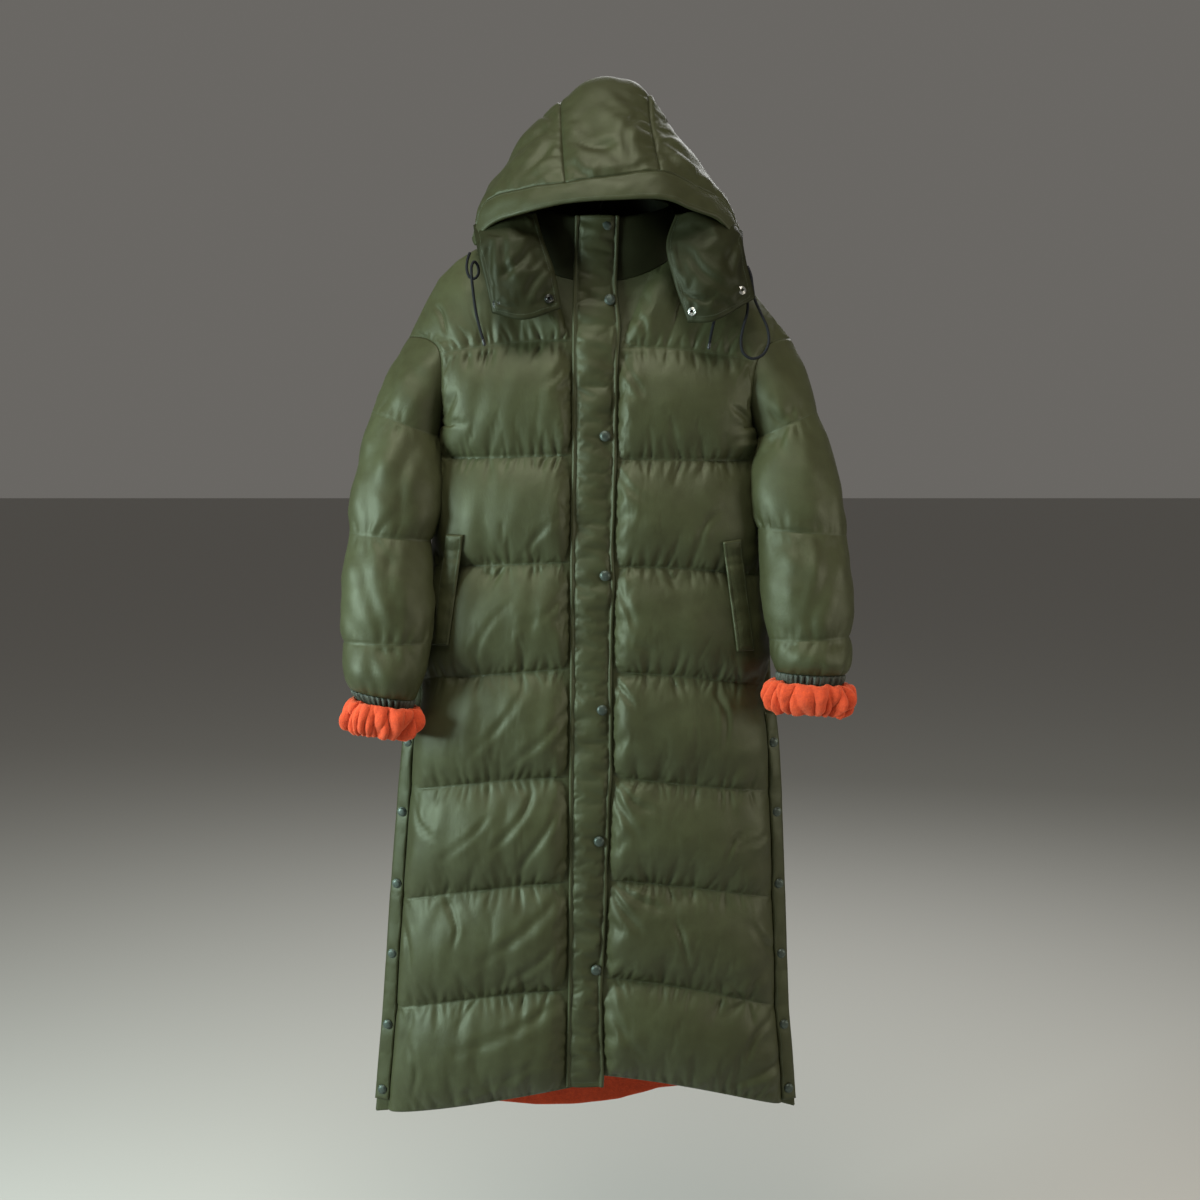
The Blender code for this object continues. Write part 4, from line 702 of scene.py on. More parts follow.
def gathered(base, puff, bands, seed, folds=(), deep=0.0060, reach=0.050):
    """A quilted panel's lift as cut and sewn, and how full its cloth is at each point.

    Rows lie in bands; each line of stitching between two bands gathers the cloth beside it.
    """
    across, down = reaches(base)
    near = np.minimum(1.0, puff / 0.006)
    press = np.zeros_like(puff)
    from_line = np.full(puff.shape, 1.0)
    for band in range(int(bands[:, 0].max()) + 1):
        mine = bands[:, 0] == band
        top, foot = down[mine][0], down[mine][-1]
        for line, away in ((band, down - top), (band + 1, foot - down)):
            if line == 0:
                continue
            away = np.maximum(away[mine], 0.0)
            gathers = tucks(across[mine], away, seed + line, reach=reach, deep=deep)
            press[mine] = np.maximum(press[mine], gathers)
            from_line[mine] = np.minimum(from_line[mine], away)
    waves = ripple(base, 0.070, seed) * 0.0014 + ripple(base, 0.032, seed + 9) * 0.0007 - press
    waves -= creases(base, folds)
    full = bell(from_line / LINE_REACH) * (0.75 + 0.35 * ripple(base, 0.045, seed + 5))
    return puff * START_PUFF + waves * near, full


def settle(base, ways, lift, held, full, grow=(0.02, 0.15), pressure=13.0,
           least=WALL / 2, closed=False):
    """Where cloth comes to rest when filling blows it out between the points that are held.

    It starts at lift over base, along ways, and never sinks below least. full, from 0 to 1,
    says how much too large it was cut at each point, between the two shares in grow.
    """
    start = base + ways * lift[..., None]
    rows, columns = start.shape[:2]
    faces = grid_faces(rows, columns, closed)
    points = start.reshape(-1, 3)
    turned = np.cross(points[faces[:, 1]] - points[faces[:, 0]],
                      points[faces[:, 2]] - points[faces[:, 0]])
    if np.median(np.sum(turned * ways.reshape(-1, 3)[faces[:, 0]], axis=1)) < 0:
        faces = faces[:, ::-1]
    mesh = bpy.data.meshes.new("settling")
    mesh.from_pydata(points.tolist(), [], faces.tolist())
    piece = bpy.data.objects.new("settling", mesh)
    bpy.context.scene.collection.objects.link(piece)
    piece.vertex_groups.new(name="sewn").add(np.flatnonzero(held).tolist(), 1.0, "REPLACE")
    fullness = piece.vertex_groups.new(name="fullness")
    levels = np.clip(np.round(full * FULLNESS_LEVELS), 0, FULLNESS_LEVELS).astype(int).ravel()
    for level in range(FULLNESS_LEVELS + 1):
        fullness.add(np.flatnonzero(levels == level).tolist(), level / FULLNESS_LEVELS,
                     "REPLACE")
    cloth = piece.modifiers.new("cloth", "CLOTH")
    cloth.point_cache.frame_start, cloth.point_cache.frame_end = 1, SETTLE_FRAMES
    cloth.collision_settings.use_collision = False
    cloth.collision_settings.use_self_collision = False
    for name, value in CLOTH_SETTINGS.items():
        setattr(cloth.settings, name, value)
    cloth.settings.shrink_min, cloth.settings.shrink_max = -grow[0], -grow[1]
    cloth.settings.uniform_pressure_force = pressure
    cloth.settings.effector_weights.gravity = 0.0
    for frame_number in range(1, SETTLE_FRAMES + 1):
        bpy.context.scene.frame_set(frame_number)
    rested = piece.evaluated_get(bpy.context.evaluated_depsgraph_get())
    drawn = np.empty(rows * columns * 3)
    rested.to_mesh().vertices.foreach_get("co", drawn)
    rested.to_mesh_clear()
    bpy.data.objects.remove(piece)
    bpy.data.meshes.remove(mesh)
    bpy.context.scene.frame_set(1)
    move = drawn.reshape(rows, columns, 3) - start
    length = np.linalg.norm(move, axis=-1, keepdims=True)
    cap = SETTLE_FREE + SETTLE_SHARE * np.maximum(lift - least, 0.0)[..., None]
    drawn = start + move * (cap * np.tanh(length / cap) / np.maximum(length, 1e-9))
    height = np.sum((drawn - base) * ways, axis=-1, keepdims=True)
    return drawn + ways * np.maximum(least - height, 0.0)


def cloth_wall(name, outer, inner, looks, closed=False):
    """A closed wall of cloth between two grids: its inside in the last look, the rest in the first."""
    rows, columns = outer.shape[:2]
    inside = rows * columns
    index = np.arange(inside).reshape(rows, columns)
    across = np.concatenate((index, index[:, :1]), axis=1) if closed else index
    front = grid_faces(rows, columns, closed)
    back = front[:, (0, 3, 2, 1)] + inside
    top, foot = across[0], across[-1]
    rims = [np.stack((top[:-1], top[:-1] + inside, top[1:] + inside, top[1:]), axis=1),
            np.stack((foot[:-1], foot[1:], foot[1:] + inside, foot[:-1] + inside), axis=1)]
    if not closed:
        for column, step in ((index[:, 0], 1), (index[:, -1], -1)):
            up, low = column[:-1], column[1:]
            rims.append(np.stack((up, low, low + inside, up + inside)[::step], axis=1))
    faces = np.concatenate((front, back, *rims))
    points = np.concatenate((outer.reshape(-1, 3), inner.reshape(-1, 3)))
    p, q, r, s = [points[faces[:, k]] for k in range(4)]
    if np.sum(p * np.cross(q, r)) + np.sum(p * np.cross(r, s)) < 0:
        faces = faces[:, ::-1]
    uvs = np.stack([part.ravel() for part in reaches(outer)], axis=1)
    lined = np.full((rows - 1, across.shape[1] - 1), len(looks) - 1)
    lined[:TURNED_IN] = lined[-TURNED_IN:] = 0
    if not closed:
        lined[:, :TURNED_IN] = lined[:, -TURNED_IN:] = 0
    slots = np.zeros(len(faces), dtype=int)
    slots[len(front):2 * len(front)] = lined.ravel()
    return make_mesh(name, points, faces.tolist(), np.concatenate((uvs, uvs)), looks, slots)


def satin(name, tone_and_painted_shade=1.0):
    """Nylon satin over filling: a soft broken shine, with small crumples and a fine weave."""
    # The tone scales both olives and the shine: under 1 it paints shade onto the same cloth, as darker
    # colour and weaker reflection.
    shades = [(*(value * tone_and_painted_shade for value in colour[:3]), 1.0) for colour in (OLIVE, OLIVE_LIT)]

    def crumple(start):
        place = place_of(start)
        return (place.noise(60.0, 4.0) * 0.08 + place.noise(420.0, 2.0) * 0.05
                + cloth_of(start).noise(2600.0, 1.0) * 0.025)

    def shade(start):
        place = place_of(start)
        broad = place.noise(9.0) * 0.6 + place.noise(60.0) * 0.4
        return ((broad - 0.35) * 2.2).tint(*shades)

    return finish(name, shade, lambda start: place_of(start).noise(48.0) * 0.14 + 0.45,
                  height=crumple, depth=CRUMPLE_DEPTH, IOR=1.45,
                  Specular_IOR_Level=SATIN_SHINE * tone_and_painted_shade, Specular_Tint=SATIN_TINT)


def fleece(name):
    """Short orange pile: matt, in small clumps, with painted shade: a little paler on their tips,
    darker between them.
    """
    def pile(start):
        place = place_of(start)
        return place.noise(520.0, 4.0, 0.65) * 0.6 + place.noise(150.0, 3.0) * 0.4

    return finish(name, lambda start: ((pile(start) - 0.30) * 2.4).tint(ORANGE_PAINTED_SHADE, ORANGE),
                  lambda start: 0.85 + place_of(start).noise(200.0) * 0.12,
                  height=pile, depth=0.0016, Sheen_Weight=0.25, Sheen_Roughness=0.5,
                  Sheen_Tint=(1.0, 0.45, 0.25, 1.0))


front_satin = satin("front_satin")
lining_fleece = fleece("lining_fleece")
quilted_faces = []  # outside, directions and bands of each quilted piece


def quilt(name, grid, normals, seed, look, folds=(), held_sides=(0, 0), closed=False, **blown):
    """Sews and fills one quilted panel, and gives the outside that it comes to rest in.

    held_sides says how many columns are held at the start and at the end of each row.
    """
    base, puff, bands = grid
    lift, full = gathered(base, puff, bands, seed, folds)
    held = np.tile((bands[:, 1] > LINE_SHARE)[:, None], base.shape[1])
    held[0] = True
    held[:, :held_sides[0]] = held[:, base.shape[1] - held_sides[1]:] = True
    drawn = settle(base, normals, WALL / 2 + lift, held, full, closed=closed, **blown)
    piece = cloth_wall(name + "_quilting", drawn, base - normals * (WALL / 2),
                       [look, lining_fleece], closed)
    dress(piece, "nylon", name)
    return drawn


FRONT_FOLDS = {
    # band, then across from the placket and down the band: start, middle, end; width, depth
    -1: ((0, 0.85, 0.3, 0.83, 0.55, 0.86, 0.85, 0.0038, 0.0032),
         (1, 0.04, 0.1, 0.12, 0.3, 0.28, 0.42, 0.0051, 0.0024),
         (1, 0.93, 0.55, 0.8, 0.66, 0.66, 0.7, 0.0048, 0.0027),
         (2, 0.1, 0.55, 0.24, 0.72, 0.36, 0.93, 0.0048, 0.0027),
         (2, 0.95, 0.12, 0.84, 0.34, 0.8, 0.6, 0.0045, 0.0024),
         (3, 0.05, 0.3, 0.2, 0.48, 0.42, 0.62, 0.0051, 0.0026),
         (3, 0.36, 0.3, 0.52, 0.56, 0.6, 0.9, 0.0048, 0.0024),
         (4, 0.03, 0.36, 0.18, 0.62, 0.42, 0.92, 0.0054, 0.0034),
         (4, 0.3, 0.16, 0.42, 0.48, 0.62, 0.82, 0.0051, 0.0027),
         (5, 0.04, 0.14, 0.16, 0.46, 0.34, 0.88, 0.0051, 0.0037),
         (5, 0.22, 0.06, 0.3, 0.36, 0.5, 0.72, 0.0048, 0.0034),
         (5, 0.44, 0.28, 0.54, 0.5, 0.7, 0.66, 0.0038, 0.0027),
         (5, 0.86, 0.1, 0.8, 0.34, 0.68, 0.5, 0.0045, 0.0027),
         (6, 0.03, 0.08, 0.26, 0.4, 0.58, 0.74, 0.007, 0.0042),
         (6, 0.06, 0.48, 0.22, 0.72, 0.44, 0.92, 0.0058, 0.0034),
         (6, 0.62, 0.16, 0.58, 0.34, 0.6, 0.5, 0.0035, 0.0026),
         (6, 0.95, 0.1, 0.84, 0.36, 0.8, 0.66, 0.0045, 0.0029),
         (7, 0.04, 0.1, 0.3, 0.34, 0.62, 0.5, 0.0064, 0.0037),
         (7, 0.12, 0.6, 0.34, 0.74, 0.6, 0.94, 0.0058, 0.0032),
         (7, 0.8, 0.34, 0.74, 0.6, 0.78, 0.9, 0.0042, 0.0026)),
    1: ((0, 0.04, 0.62, 0.14, 0.78, 0.22, 0.95, 0.0045, 0.0027),
        (1, 0.03, 0.06, 0.1, 0.26, 0.22, 0.46, 0.0048, 0.0029),
        (1, 0.95, 0.62, 0.84, 0.52, 0.74, 0.5, 0.0045, 0.0029),
        (1, 0.94, 0.8, 0.84, 0.78, 0.7, 0.84, 0.0045, 0.0027),
        (2, 0.03, 0.1, 0.12, 0.3, 0.3, 0.44, 0.0048, 0.0029),
        (2, 0.7, 0.4, 0.58, 0.56, 0.52, 0.8, 0.0045, 0.0024),
        (3, 0.02, 0.05, 0.08, 0.28, 0.16, 0.56, 0.0051, 0.0035),
        (3, 0.05, 0.62, 0.18, 0.72, 0.34, 0.78, 0.0045, 0.0024),
        (4, 0.02, 0.04, 0.08, 0.18, 0.18, 0.32, 0.0045, 0.004),
        (4, 0.6, 0.1, 0.64, 0.34, 0.62, 0.64, 0.0038, 0.0027),
        (5, 0.02, 0.04, 0.08, 0.3, 0.2, 0.54, 0.0051, 0.0043),
        (5, 0.05, 0.02, 0.16, 0.2, 0.32, 0.3, 0.0042, 0.0034),
        (5, 0.74, 0.4, 0.66, 0.5, 0.62, 0.66, 0.0032, 0.0027),
        (5, 0.88, 0.36, 0.78, 0.5, 0.64, 0.54, 0.0035, 0.0027),
        (6, 0.02, 0.04, 0.1, 0.26, 0.24, 0.46, 0.0054, 0.005),
        (6, 0.04, 0.02, 0.18, 0.16, 0.38, 0.24, 0.0045, 0.0035),
        (6, 0.38, 0.3, 0.42, 0.5, 0.46, 0.78, 0.0038, 0.0029),
        (6, 0.74, 0.26, 0.84, 0.44, 0.97, 0.52, 0.0045, 0.0029),
        (7, 0.02, 0.06, 0.1, 0.4, 0.26, 0.8, 0.0058, 0.0035),
        (7, 0.9, 0.1, 0.76, 0.34, 0.7, 0.6, 0.0048, 0.003),
        (7, 0.95, 0.5, 0.8, 0.66, 0.62, 0.9, 0.0045, 0.0027)),
}


def placed(folds, base, bands):
    """Folds given by band and shares, as the x and z that creases takes."""
    rows = []
    for band, *places, width, deep in folds:
        points = []
        for across, down in zip(places[0::2], places[1::2]):
            row = int(np.argmin(np.abs(bands[:, 0] - band) * 10 + np.abs(bands[:, 1] - down)))
            column = int(round(UNDER + across * (base.shape[1] - UNDER - 1)))
            points += [base[row, column, 0], base[row, column, 2]]
        rows.append((*points, width, deep))
    return rows


front_faces = {}
for side, side_name in SIDES:
    base, puff, bands = front_grid(side)
    normals = facing(base, FORWARD)
    hole = armholes[side]
    places = [*(FRONT_CORNER * cosine_steps(YOKE_ROWS, 0.4)),
              *even_places(hole, FRONT_CORNER, UNDERARM, BESIDE_ROWS)]
    out = np.tile((float(side), 0.0, 0.0), (len(base), 1))
    out[:len(places)] = [hole.at(place, hole.spokes) for place in places]
    flat = vent(base[:, -1, 2])[:, None]
    out = unit(out * (1 - flat) + FORWARD * flat)
    blend = np.linspace(1, 0, 4)[None, :, None] ** 2
    normals[:, -4:] = unit(normals[:, -4:] * blend + out[:, None, :] * (1 - blend))
    drawn = quilt("front_" + side_name, (base, puff, bands), normals, 100 * (side + 2),
                  front_satin, placed(FRONT_FOLDS[side], base, bands), (UNDER + 1, 1))
    front_faces[side] = drawn
    quilted_faces.append((drawn[:, UNDER:], normals[:, UNDER:], bands))

# ---- Back ----
# One panel from shoulder seam to shoulder seam and down to a hem that drops below the fronts.
# It is quilted at the same heights, and its fleece lining shows inside the hem.
BACK_PUFF = 0.016
BACK_YOKE_SHARE = 0.8  # of the fronts' swelling
BACK_YOKE_BOW = 0.010  # how far the yoke bows backwards
BACK_POWER = 4.0
BACK_COLUMNS = (0.0, 0.035, 0.12, 0.26, 0.40, 0.50, 0.60, 0.74, 0.88, 0.965, 1.0)
BACK_FINE = 128
BACK_YOKE_ROWS = 26
BACK_BESIDE_ROWS = 17  # beside the armholes, then on below them to the next line
BACK_BELOW_ROWS = 10
BACK_ROWS = 24
BACK_CENTRE, RIGHT_SIDE, LEFT_SIDE = 6, 2, 5    # columns of QUILT_LINES
LINING_WALL = 0.0018
HEM_ROWS = 24  # rows of the back that the hem's lining covers
HEM_INSET = 6  # columns that it leaves free at each side
LAY_ON = 0.0006  # between a piece and the one that it lies on
NECK_BACK = (
    # x, y, z between the shoulder seams
    (-0.075, 0.028, -0.09), (0.0, 0.036, -0.086), (0.075, 0.028, -0.09),
)
BACK_DEPTH = (
    # z, y of the back
    (-1.42, 0.046), (-0.8, 0.052), (-0.42, 0.053), (-0.27, 0.051), (-0.17, 0.046),
    (-0.085, 0.036),
)
BACK_HEM = (
    # x, z
    (-0.3365, -1.396), (-0.2, -1.401), (-0.1, -1.4115), (-0.03, -1.41), (0.03, -1.402),
    (0.09, -1.385), (0.16, -1.376), (0.2925, -1.3882),
)


def back_neckline(shares):
    """The neck's edge across the back, from the right shoulder seam to the left."""
    (right_x, right_z), (left_x, left_z) = SHOULDERS[-1][0], SHOULDERS[1][0]
    keys = ((right_x, 0.0, right_z), *NECK_BACK, (left_x, 0.0, left_z))
    return along(curve_through(keys, 12), shares)


def back_row(right, left, centre_z, shares):
    """One row of the back from the right edge to the left, through two edge points."""
    x = right[0] + (left[0] - right[0]) * shares
    z = cross_line(shares, right[2], centre_z, left[2])
    edge_y = right[1] + (left[1] - right[1]) * shares
    bulge = np.maximum(1 - np.abs(2 * shares - 1) ** BACK_POWER, 0.0) ** (1 / BACK_POWER)
    deep = np.maximum(table(BACK_DEPTH, z)[0], edge_y)
    row = np.stack((x, edge_y + (deep - edge_y) * bulge, z), axis=1)
    row[0], row[-1] = right, left
    return row


def back_grid():
    """The back's base, the swelling of each row, and each row's band and place down it."""
    right_hole, left_hole = armholes[-1], armholes[1]
    shares = cosine_steps(BACK_FINE, 0.25)
    places = np.interp(shares, BACK_COLUMNS, range(len(BACK_COLUMNS)))
    runs = [[*((x, 0.0, z) for x, z in SHOULDERS[side][:-1]), tuple(hole.at(0.0))]
            for side, hole in armholes.items()]
    right_out = along(runs[0], np.interp(places, (0, 1, 2, 3), (1, 5 / 6, 0.5, 0)))
    left_out = along(runs[1], np.interp(places, (7, 8, 9, 10), (0, 0.5, 5 / 6, 1)))
    neck = back_neckline(np.clip((places - 3) / 4, 0, 1))
    top = np.where((places < 3)[:, None], right_out,
                   np.where((places > 7)[:, None], left_out, neck))
    heads, feet = QUILT_LINES[:2]
    yoke_line = back_row(right_hole.at(-FRONT_CORNER), left_hole.at(-FRONT_CORNER),
                         heads[BACK_CENTRE], shares)
    weights = np.abs(2 * shares - 1) ** 6
    rows, puffs, bands = [], [], []
    for step in cosine_steps(BACK_YOKE_ROWS, 0.4):
        t = np.interp(FRONT_CORNER * step, range(len(YOKE_SHARES)), YOKE_SHARES)
        row = top * (1 - t) + yoke_line * t
        place = -FRONT_CORNER * step
        lean = np.where((shares < 0.5)[:, None], right_hole.at(place) - row[0],
                        left_hole.at(place) - row[-1])
        row = row + lean * weights[:, None]
        row[:, 1] += BACK_YOKE_BOW * math.sin(math.pi * t) * (1 - weights)
        rows.append(row)
        puffs.append(YOKE_PUFF * BACK_YOKE_SHARE * swell(t))
        bands.append((0, t))
    start = right_hole.at(-FRONT_CORNER)[2]
    for place in even_places(right_hole, -FRONT_CORNER, -UNDERARM, BACK_BESIDE_ROWS):
        right, left = right_hole.at(place), left_hole.at(place)
        t = (right[2] - start) / (feet[RIGHT_SIDE] - start)
        centre = heads[BACK_CENTRE] + (feet[BACK_CENTRE] - heads[BACK_CENTRE]) * t
        rows.append(back_row(right, left, centre, shares))
        puffs.append(BACK_PUFF * swell(t))
        bands.append((1, t))
    for band, (heads, feet) in enumerate(zip(QUILT_LINES, QUILT_LINES[1:]), start=1):
        steps = cosine_steps(BACK_ROWS)[1:]
        if band == 1:
            done = bands[-1][1]
            steps = done + (1 - done) * np.linspace(0, 1, BACK_BELOW_ROWS + 1)[1:]
        for t in steps:
            z_right, z_left, z_back = [heads[c] + (feet[c] - heads[c]) * t
                                       for c in (RIGHT_SIDE, LEFT_SIDE, BACK_CENTRE)]
            row = back_row(side_point(-1, z_right), side_point(1, z_left), z_back, shares)
            if band == len(QUILT_LINES) - 1:
                hem = np.interp(row[:, 0], *np.array(BACK_HEM).T)
                straight = cross_line(shares, feet[RIGHT_SIDE], feet[BACK_CENTRE],
                                      feet[LEFT_SIDE])
                row[:, 2] += (hem - straight) * t
            rows.append(row)
            puffs.append(BACK_PUFF * swell(t))
            bands.append((band, t))
    across = (1 - weights) ** 0.8
    return np.array(rows), np.outer(puffs, across), np.array(bands)


back_satin = satin("back_satin", 0.95)
base, puff, bands = back_grid()
normals = facing(base, -FORWARD)
for column in (0, -1):
    base[:, column, 1] += vent(base[:, column, 2]) * (WALL / 2 + LAY_ON)
drawn = quilt("back", (base, puff, bands), normals, 900, back_satin, held_sides=(1, 1))
quilted_faces.append((drawn, normals, bands))

hem_rows = base[-HEM_ROWS:, HEM_INSET:-HEM_INSET].copy()
hem_ways = normals[-HEM_ROWS:, HEM_INSET:-HEM_INSET]
hem_rows[-1] = hem_rows[-1] * 0.7 + hem_rows[-2] * 0.3
lift = WALL / 2 + LAY_ON + LINING_WALL / 2 + 0.0008 * (1 + ripple(hem_rows, 0.05, 31))
middle = hem_rows - hem_ways * lift[..., None]
hem_lining = cloth_wall("hem_lining", middle + hem_ways * (LINING_WALL / 2),
                        middle - hem_ways * (LINING_WALL / 2), [lining_fleece])
dress(hem_lining, "fleece", "lining_back_hem")

# ---- Sleeves ----
# Tubes of the same quilted satin, set into dropped armholes and curving forward to the cuffs.
# Four bands of filling; the top one folds flat where the sleeve presses on the body.
SLEEVE_PUFF = 0.009
SLEEVE_FACE_PUFF = 0.008
TOP_BAND_SHARE = 0.6
INNER_SWELL = (-0.004, 0.006, -0.003, -0.004)  # of each band, where it meets the body
SLEEVE_ROUND = 96
SLEEVE_ROWS = (24, 24, 24, 14)
UNDERARM_EASE = 0.0012  # how far out a sleeve's seam is set near the underarm
UNDERARM_FLAT = (
    # share of the top band's swelling at each place of the armhole
    1.0, 1.0, 1.0, 0.9, 0.7, 0.35, 0.0, 0.0, 0.0, 0.0, 0.0, 0.35, 0.7, 0.9, 1.0, 1.0, 1.0,
)
SLEEVE_RINGS = {
    # outer x, outer z, inner x, inner z, y of the middle, half depth
    "right": ((-0.3269, -0.351, -0.2345, -0.387, -0.024, 0.044),
              (-0.357, -0.5234, -0.2439, -0.5349, -0.057, 0.044),
              (-0.3632, -0.6773, -0.2417, -0.6784, -0.082, 0.042),
              (-0.354, -0.7448, -0.2664, -0.7616, -0.086, 0.034)),
    "left": ((0.3118, -0.351, 0.23, -0.388, -0.02, 0.044),
             (0.3514, -0.5277, 0.228, -0.517, -0.057, 0.044),
             (0.3531, -0.67, 0.2431, -0.674, -0.082, 0.042),
             (0.3471, -0.7245, 0.2545, -0.7203, -0.086, 0.035)),
}


def sleeve_ring(ring, count):
    """Points round a sleeve from its outer edge, over the front, to the inner edge and back."""
    outer_x, outer_z, inner_x, inner_z, y, depth = ring
    middle = np.array(((outer_x + inner_x) / 2, y, (outer_z + inner_z) / 2))
    half = np.array(((outer_x - inner_x) / 2, 0.0, (outer_z - inner_z) / 2))
    angles = np.arange(count) * (2 * math.pi / count)
    return (middle + np.outer(np.cos(angles), half)
            + np.outer(np.sin(angles), np.array((0.0, -depth, 0.0))))


def ring_spokes(ring, way):
    """Directions away from a ring's middle, square to the way it runs."""
    spokes = ring - ring.mean(axis=0)
    return unit(spokes - np.outer(spokes @ way, way))


SLEEVE_FOLDS = {
    # x and z of each fold's start, middle and end, its width and depth
    "right": ((-0.285, -0.262, -0.292, -0.3, -0.3, -0.35, 0.008, 0.003),
              (-0.3, -0.375, -0.318, -0.43, -0.323, -0.52, 0.009, 0.0036),
              (-0.268, -0.4, -0.283, -0.45, -0.28, -0.528, 0.008, 0.0036),
              (-0.332, -0.54, -0.322, -0.6, -0.298, -0.668, 0.0095, 0.0042),
              (-0.29, -0.54, -0.298, -0.59, -0.285, -0.645, 0.008, 0.0036),
              (-0.324, -0.69, -0.316, -0.715, -0.308, -0.745, 0.007, 0.003)),
    "left": ((0.238, -0.338, 0.252, -0.372, 0.264, -0.42, 0.0065, 0.0044),
             (0.27, -0.35, 0.253, -0.384, 0.244, -0.42, 0.0065, 0.0044),
             (0.298, -0.38, 0.312, -0.43, 0.315, -0.515, 0.009, 0.0036),
             (0.32, -0.535, 0.31, -0.59, 0.286, -0.66, 0.0095, 0.0042),
             (0.276, -0.53, 0.288, -0.58, 0.274, -0.64, 0.008, 0.0036)),
}
sleeve_satin = satin("sleeve_satin", 1.02)
for side, side_name in SIDES:
    hole = armholes[side]
    turns = np.arange(SLEEVE_ROUND) * (2 * UNDERARM / SLEEVE_ROUND)
    stations = [np.array([hole.at(turn) for turn in turns])]
    stations += [sleeve_ring(ring, SLEEVE_ROUND) for ring in SLEEVE_RINGS[side_name]]
    rows, shares, bands = [], [], []
    for band, count in enumerate(SLEEVE_ROWS):
        for t in cosine_steps(count)[0 if band == 0 else 1:]:
            rows.append(stations[band] * (1 - t) + stations[band + 1] * t)
            shares.append(swell(t) * (TOP_BAND_SHARE if band == 0 else 1.0))
            bands.append((band, t))
    base, bands = np.array(rows), np.array(bands)
    middles = base.mean(axis=1, keepdims=True)
    normals = facing(base, base - middles, closed=True)
    normals[0] = [hole.at(turn, hole.spokes) for turn in turns]
    normals[-1] = ring_spokes(base[-1], unit(middles[-1, 0] - middles[-2, 0]))
    angles = turns * (math.pi / UNDERARM)
    faces = SLEEVE_PUFF + SLEEVE_FACE_PUFF * np.sin(angles) ** 2
    inner = ease((-np.cos(angles) - 0.4) / 0.4)
    puff = np.array([share * (faces + INNER_SWELL[band] * inner)
                     for share, (band, _) in zip(shares, bands.astype(int))])
    puff[bands[:, 0] == 0] *= np.interp(turns, range(len(UNDERARM_FLAT)), UNDERARM_FLAT)
    base[0, :, 0] += side * UNDERARM_EASE * (np.abs(turns - UNDERARM) <= 2)
    drawn = quilt("sleeve_" + side_name, (base, puff, bands), normals, 300 + 40 * side,
                  sleeve_satin, SLEEVE_FOLDS[side_name], closed=True, grow=(0.0, 0.14))
    quilted_faces.append([np.concatenate((grid, grid[:, :1]), axis=1)
                          for grid in (drawn, normals)] + [bands])

# ---- Cuffs ----
# Each sleeve ends in a short gathered casing over elastic, and the fleece lining comes out
# below it as a thick soft frill.
CUFF_FEET = {
    "right": (-0.3414, -0.76, -0.275, -0.7782, -0.087, 0.028),
    "left": (0.3415, -0.741, 0.2575, -0.737, -0.087, 0.031),
}
FRILL_PROFILE = (
    # out, along, share of the waves
    (0.001, 0.0014, 0.0), (0.015, -0.0025, 0.6), (0.02, 0.0125, 1.0), (0.0155, 0.0295, 1.0),
    (0.006, 0.0395, 0.7),
)
FRILL_LEAN = {"right": -0.013, "left": 0.0005}  # how far to the side its foot stands
FRILL_DEPTH = 0.0072
FRILL_FOLDS = 11
FRILL_SMALL_FOLDS = 21
FRILL_SKEW = 95.0  # how fast its folds turn aside on their way down
FRILL_DROP = 0.0030
FRILL_WALL = 0.0026
FRILL_ROUND = 288
CASING_ROUND = 224
CASING_PLEATS = 33
CASING_ROWS = 13
CASING_SPAN = (0.02, 0.98)  # of the way from the sleeve's end to the frill
CASING_LIFT = 0.0012
PLEAT_HEIGHT = 0.0022
ELASTIC_GREEN = (0.010, 0.013, 0.008, 1.0)
ELASTIC_LIT = (0.034, 0.042, 0.026, 1.0)

